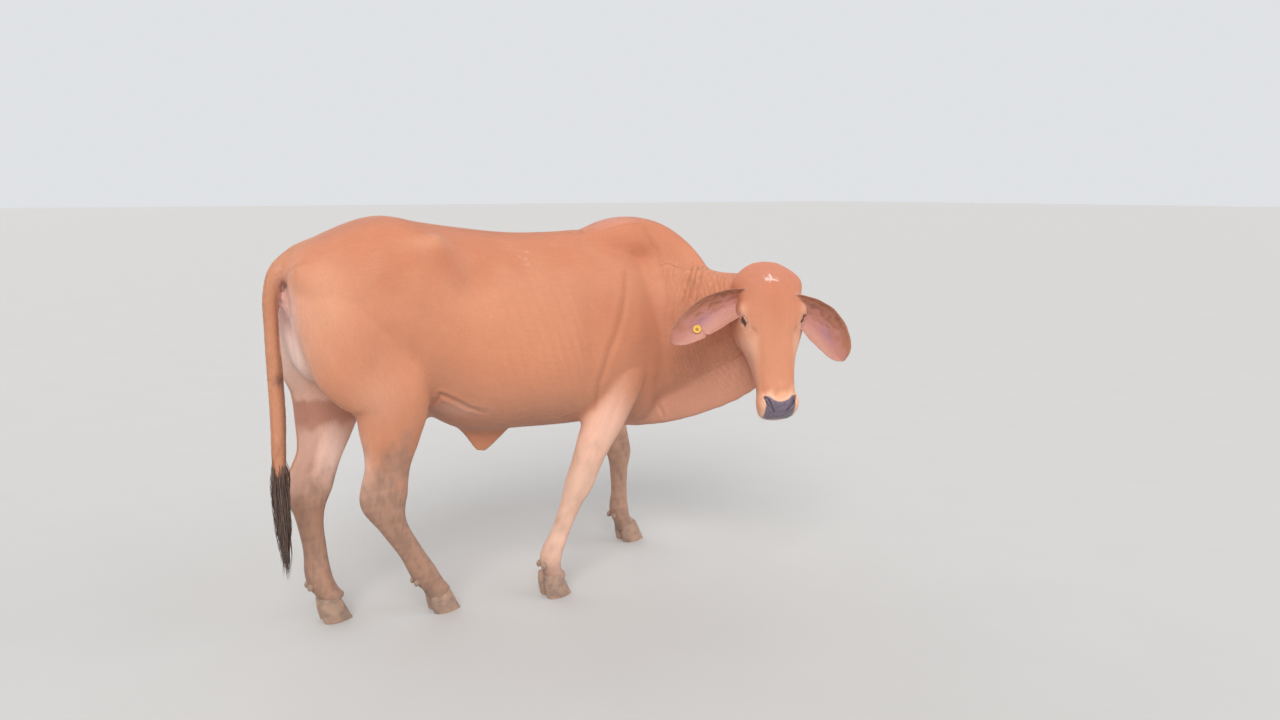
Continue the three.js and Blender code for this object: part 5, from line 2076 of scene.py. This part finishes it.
def tufts(name, hide, density, length, width, lift, material, seed, spread=0.12):
    """A piece of the coat, with density, length, width and lift of the tips for each point of the skin."""
    rng = np.random.default_rng(seed)
    corners, shares = sow(hide.points, hide.triangles, density, rng)
    count = len(corners)
    if not count:
        return
    root, normal, lie = (hide.at(field, corners, shares) for field in (hide.points, hide.normals, hide.lie))
    normal = unit(normal)
    turn = rng.normal(0, spread, count)[:, None]
    lie = unit(lie * np.cos(turn) + np.cross(normal, lie) * np.sin(turn))
    size = hide.at(length, corners, shares) * rng.uniform(0.7, 1.25, count)
    raised = hide.at(lift, corners, shares) * rng.uniform(0.4, 1.3, count)
    middle, _ = hide.hug(root + lie * (size * 0.5)[:, None], 0.08 + raised * 0.3)
    end, end_normal = hide.hug(root + lie * size[:, None], raised * 0.8)
    paths = np.stack([root - normal * 0.5, middle, end], 1)
    out = np.stack([normal, unit(normal + end_normal), end_normal], 1)
    across = unit(np.cross(end - root, out[:, 1]))
    half = hide.at(width, corners, shares) * rng.uniform(0.35, 0.65, count)
    colour = hide.at(hide.colour, corners, shares) * rng.normal(1, 0.045, (count, 1))
    colour = np.clip(colour, 0.004, 1)
    uv = unwrapped(hide, corners, shares)
    thick = half * TUFT_THICKNESS
    obj = spindles(name, paths, across, out, half, thick, colour, colour * TUFT_TIP, uv, material)
    finish_piece(obj, "coat", smooth=False)


# Regions of the coat: the forms of each, and its bounds along the body
COAT_REGIONS = {
    "quarters": (("torso",), (-900, -270)),
    "barrel": (("torso", "navel_flap"), (-270, 180)),
    "shoulders": (("torso", "hump"), (180, 900)),
    "neck": (("neck", "dewlap"), (0, 1000)),
    "thigh_and_hind_leg": (HIND_NAMES, (-900, 900)),
    "foreleg": (FORE_NAMES, (-900, 900)),
}


def coat(hide):
    """Every piece of the coat, with longer hair where the real one grows it."""
    guide, points = hide.guide, hide.points
    x, y, z = points.T
    nose_way = to_head(points)[:, 0]
    hair = hair_material("coat_tufts")
    cover = 1 - ramp(hide.bare, 0.15, 0.45)
    legs, head = guide.on(*LEG_NAMES), guide.on("head")
    low = legs * (1 - ramp(z, 380, 640))
    crest = guide.on("torso", "hump") * ramp(hide.normals[:, 2], 0.8, 0.97)
    under = ramp(-hide.normals[:, 2], 0.3, 0.8) * guide.on(*TRUNK_NAMES)
    face = head * ramp(nose_way, 40, 140)
    feather = legs * (1 - ramp(z, 150, 230)) * ramp(np.abs(guide.angle), 1.9, 2.6)
    cuff = legs * (1 - ramp(z, 84, 110))
    length = 16 - 7 * low + 5 * crest + 4 * under - 8.5 * face + 6 * feather + 3 * cuff
    length = length * (1 - 0.4 * head * ramp(nose_way, 430, 480))
    width = 1.15 - 0.25 * low - 0.4 * face + 0.1 * crest
    lift = 0.3 + 0.4 * crest + 0.6 * under - 0.15 * face + 1.0 * feather + 0.5 * cuff
    density = cover * TUFT_DENSITY * (1 + 1.0 * low + 2.2 * face)
    seed = 20
    for region, (names, (aft, fore)) in COAT_REGIONS.items():
        here = guide.on(*names) * (x >= aft) * (x < fore)
        for hand, side in (("right", y < 0), ("left", y >= 0)):
            seed += 1
            tufts(f"coat_{region}_{hand}", hide, density * here * side, length, width, lift, hair, seed)
    tufts("coat_head", hide, density * head, length, width, lift, hair, 40)
    tail = guide.on("tail") * cover
    end = ramp(740 - z, 0, 200)
    tufts("coat_tail", hide, tail * 2.6, 18 + 34 * end, 1.8 + 0.4 * end, 1.2 + 1.6 * end, hair, 41, 0.16)
    coat_of_ears(hide, hair)


def coat_of_ears(hide, hair):
    """Short hair on the ears, with fringes along their edges and long soft hair inside."""
    guide = hide.guide
    on = guide.on(*EAR_NAMES)
    inner = inner_ear(hide.normals, guide)
    right, left = (np.abs(ear_across(guide, side, 6)) for side in SIDES)
    edge = on * ramp(np.where(guide.on("ear_right") > 0, right, left), 0.86, 0.98)
    density = on * (3.6 - 2.6 * inner + 5.0 * edge)
    length = 8.5 + 3.5 * inner + 2.5 * edge
    lift = 0.5 + 0.7 * inner + 0.8 * edge
    tufts("coat_ears", hide, density, length, 0.95 - 0.25 * inner, lift, hair, 42, 0.2)


# Eyelashes and whiskers

HAIR_STEPS = np.linspace(0, 1, 5)[None, :, None]
THIN_HAIR = 0.22
# Lashes of the upper and the lower lid: which lid, how many, how long, how they droop, and how they curl
LASHES = ((1, 34, 7.5, -0.55, 0.34), (-1, 18, 3.5, -0.7, -0.1))
# How far lashes start from the opening's edge and from the ball
LASH_OFF_EDGE = 1.3
LASH_OFF_BALL = 2.2


def thin_hair(name, paths, out, tone, material):
    count, steps = paths.shape[:2]
    along = np.gradient(paths, axis=1)
    across = unit(np.cross(along, out))
    taper = np.linspace(1, 0.15, steps)[None] * np.full((count, 1), THIN_HAIR)
    colour = np.tile(srgb(tone), (count, 1))
    rank = np.arange(count)
    uv = 0.02 + 0.96 * np.stack([rank / count, (rank * 0.618) % 1], 1)
    facing = unit(np.cross(across, along))
    obj = blades(name, paths, across, facing, taper, taper, colour, colour * 1.3, uv, material)
    finish_piece(obj, "coat")


def lashes(material):
    """Curved lashes along the lids, longer above than below."""
    rng = np.random.default_rng(51)
    paths, out_ways = [], []
    for side in SIDES:
        centre, look, inward, up = eye_frame(side)
        for lid, count, size, droop, curl in LASHES:
            a = np.linspace(-0.62, 0.55, count) * LID_LENGTH + rng.normal(0, 0.35, count)
            b = lid_middle(a) + lid * (lid_half(a, lid > 0) + LASH_OFF_EDGE)
            deep = np.sqrt(np.maximum(EYE_RADIUS**2 - a**2 - b**2, 4))
            out = unit(a[:, None] * inward + b[:, None] * up + deep[:, None] * look)
            root = centre + out * (EYE_RADIUS + LASH_OFF_BALL)
            long = size * (1 - 0.45 * (np.abs(a) / LID_LENGTH)) * rng.uniform(0.8, 1.15, count)
            fan = inward * (a / LID_LENGTH * 0.55 - 0.15)[:, None]
            way = unit(look + out * 0.4 + fan + up * droop)
            bent = way[:, None] * HAIR_STEPS + up * curl * HAIR_STEPS**2
            curve = root[:, None] + bent * long[:, None, None]
            paths.append(from_head(curve))
            out_ways.append(np.broadcast_to(up @ HEAD_AXES, curve.shape))
    thin_hair("eyelashes", np.concatenate(paths), np.concatenate(out_ways), "#6a4838", material)


def whiskers(hide, material):
    """Sparse feelers on the muzzle and the chin."""
    rng = np.random.default_rng(52)
    head = to_head(hide.points)
    x, y, z = head.T
    on = hide.guide.on("head")
    muzzle = on * ramp(x, 440, 490) * (1 - nose_pad_share(head)) * ramp(np.abs(y), 10, 40)
    chin = on * ramp(x, 430, 480) * ramp(-z, 40, 56)
    corners, shares = sow(hide.points, hide.triangles, 0.35 * muzzle + 0.35 * chin, rng)
    root = hide.at(hide.points, corners, shares)
    normal, lie = (unit(hide.at(field, corners, shares)) for field in (hide.normals, hide.lie))
    count = len(root)
    long = rng.uniform(9, 20, count)[:, None, None]
    way = unit(normal * 0.8 + lie * 0.7 + rng.normal(0, 0.15, (count, 3)))
    paths = root[:, None] + (way[:, None] * HAIR_STEPS - UP * 0.22 * HAIR_STEPS**2) * long
    thin_hair("whiskers", paths, np.broadcast_to(normal[:, None], paths.shape), "#c9a68c", material)


# Switch of the tail: long wavy locks that leave the end of the tail and hang past its tip

SWITCH_TOP = 600.0
SWITCH_LOWEST_ROOT = 446
SWITCH_END = 204.0
SWITCH_LOCKS = 560
SWITCH_STEPS = 10
SWITCH_CLUMPS = 9
# Where the switch hangs to, a little before the tail's own line
SWITCH_FOOT = np.array([-752.0, -6.0])


def switch(material):
    """Wavy locks that leave the tail's end all round and gather in clumps below it."""
    rng = np.random.default_rng(7)
    read = course(TAIL)
    line = read(np.linspace(0, 1, 400))
    count = SWITCH_LOCKS
    rank = rng.random(count)
    root_z = SWITCH_TOP - (SWITCH_TOP - SWITCH_LOWEST_ROOT) * rank**0.75
    share = np.interp(-root_z, -line[:, 2], np.linspace(0, 1, 400))
    row = read(share)
    angle = rng.random(count) * 2 * math.pi
    out = np.stack([np.cos(angle), np.sin(angle), np.zeros(count)], -1)
    root = row[:, :3] + out * (row[:, 3, None] - 3.5)
    high = ramp(root_z, 560, 640)
    long = (110 + 130 * rng.random(count) + 130 * (rng.random(count) < 0.16)) * (1 - 0.4 * high)
    end_z = np.maximum(root_z - long, SWITCH_END + 60 * rng.random(count) ** 2)
    t = np.linspace(0, 1, SWITCH_STEPS)[None, :, None]
    depth = root[:, None, 2:] - (root_z - end_z)[:, None, None] * t
    fall = ramp(SWITCH_TOP - depth, 60, 430)
    bulge = (3 + 9 * rng.random(count))[:, None, None]
    body = out[:, None] * (bulge * np.sin(np.clip(t * 1.1, 0, 1) * math.pi))
    sway = rng.normal(0, 5, (count, 1, 3)) * (1, 1, 0) * t
    clump = rng.integers(0, SWITCH_CLUMPS, count)
    foot = SWITCH_FOOT + rng.normal(0, 1, (SWITCH_CLUMPS, 2))[clump] * (9, 8)
    gather = np.concatenate([(foot - root[:, :2])[:, None] * fall * 0.95, 0 * depth], 2)
    phase = clump[:, None, None] * 1.3 + rng.normal(0, 0.5, (count, 1, 1))
    waves = (np.sin(depth * 0.045 + phase), np.cos(depth * 0.04 + phase * 1.7), 0 * depth)
    wave = np.concatenate(waves, 2) * 3.4 * t
    paths = np.concatenate([np.broadcast_to(root[:, None, :2], (count, SWITCH_STEPS, 2)), depth], 2)
    paths = paths + body + sway + gather + wave
    along = np.gradient(paths, axis=1)
    across = unit(np.cross(along, out[:, None]))
    facing = unit(np.cross(across, along))
    taper = np.interp(t[..., 0], [0, 0.15, 0.5, 0.8, 1], [0.4, 0.9, 1, 0.6, 0.08])
    half = taper * (rng.random((count, 1)) * 1.3 + 0.9)
    tone = np.clip(0.5 * rng.random((count, 1)) + 0.7 * high[:, None], 0, 1)
    colour = srgb("#473a34") * (1 - tone) + srgb("#80604f") * tone
    uv = 0.01 + 0.98 * np.stack([angle / 6.2832, (root_z - root_z.min()) / np.ptp(root_z)], -1)
    obj = blades("switch_hair", paths, across, facing, half, half * 0.6, colour, colour * 1.15, uv, material)
    finish_piece(obj, "switch_hair", "tail_switch")


# The nodes that the one skin stands for
FLESH = [
    "hindquarters",
    "barrel",
    "forequarters",
    "hump",
    "neck",
    "head",
    "nose_pad",
    "dewlap",
    "navel_flap",
    "udder",
    "tail",
    "ear_right",
    "ear_left",
    "leg_fore_right",
    "leg_fore_left",
    "leg_hind_right",
    "leg_hind_left",
]

camera()
stage()
skin = whole_skin()
body_relief(skin)
skin.data.materials.clear()
skin.data.materials.append(hide_material())
finish_piece(skin, "coat", *FLESH)
hide = Hide(skin, Guides(points_of(skin.data)))
coat(hide)
eyes()
hair = hair_material("long_hair", 0.5)
lashes(hair)
whiskers(hide, hair)
hooves()
ear_tag()
switch(hair)
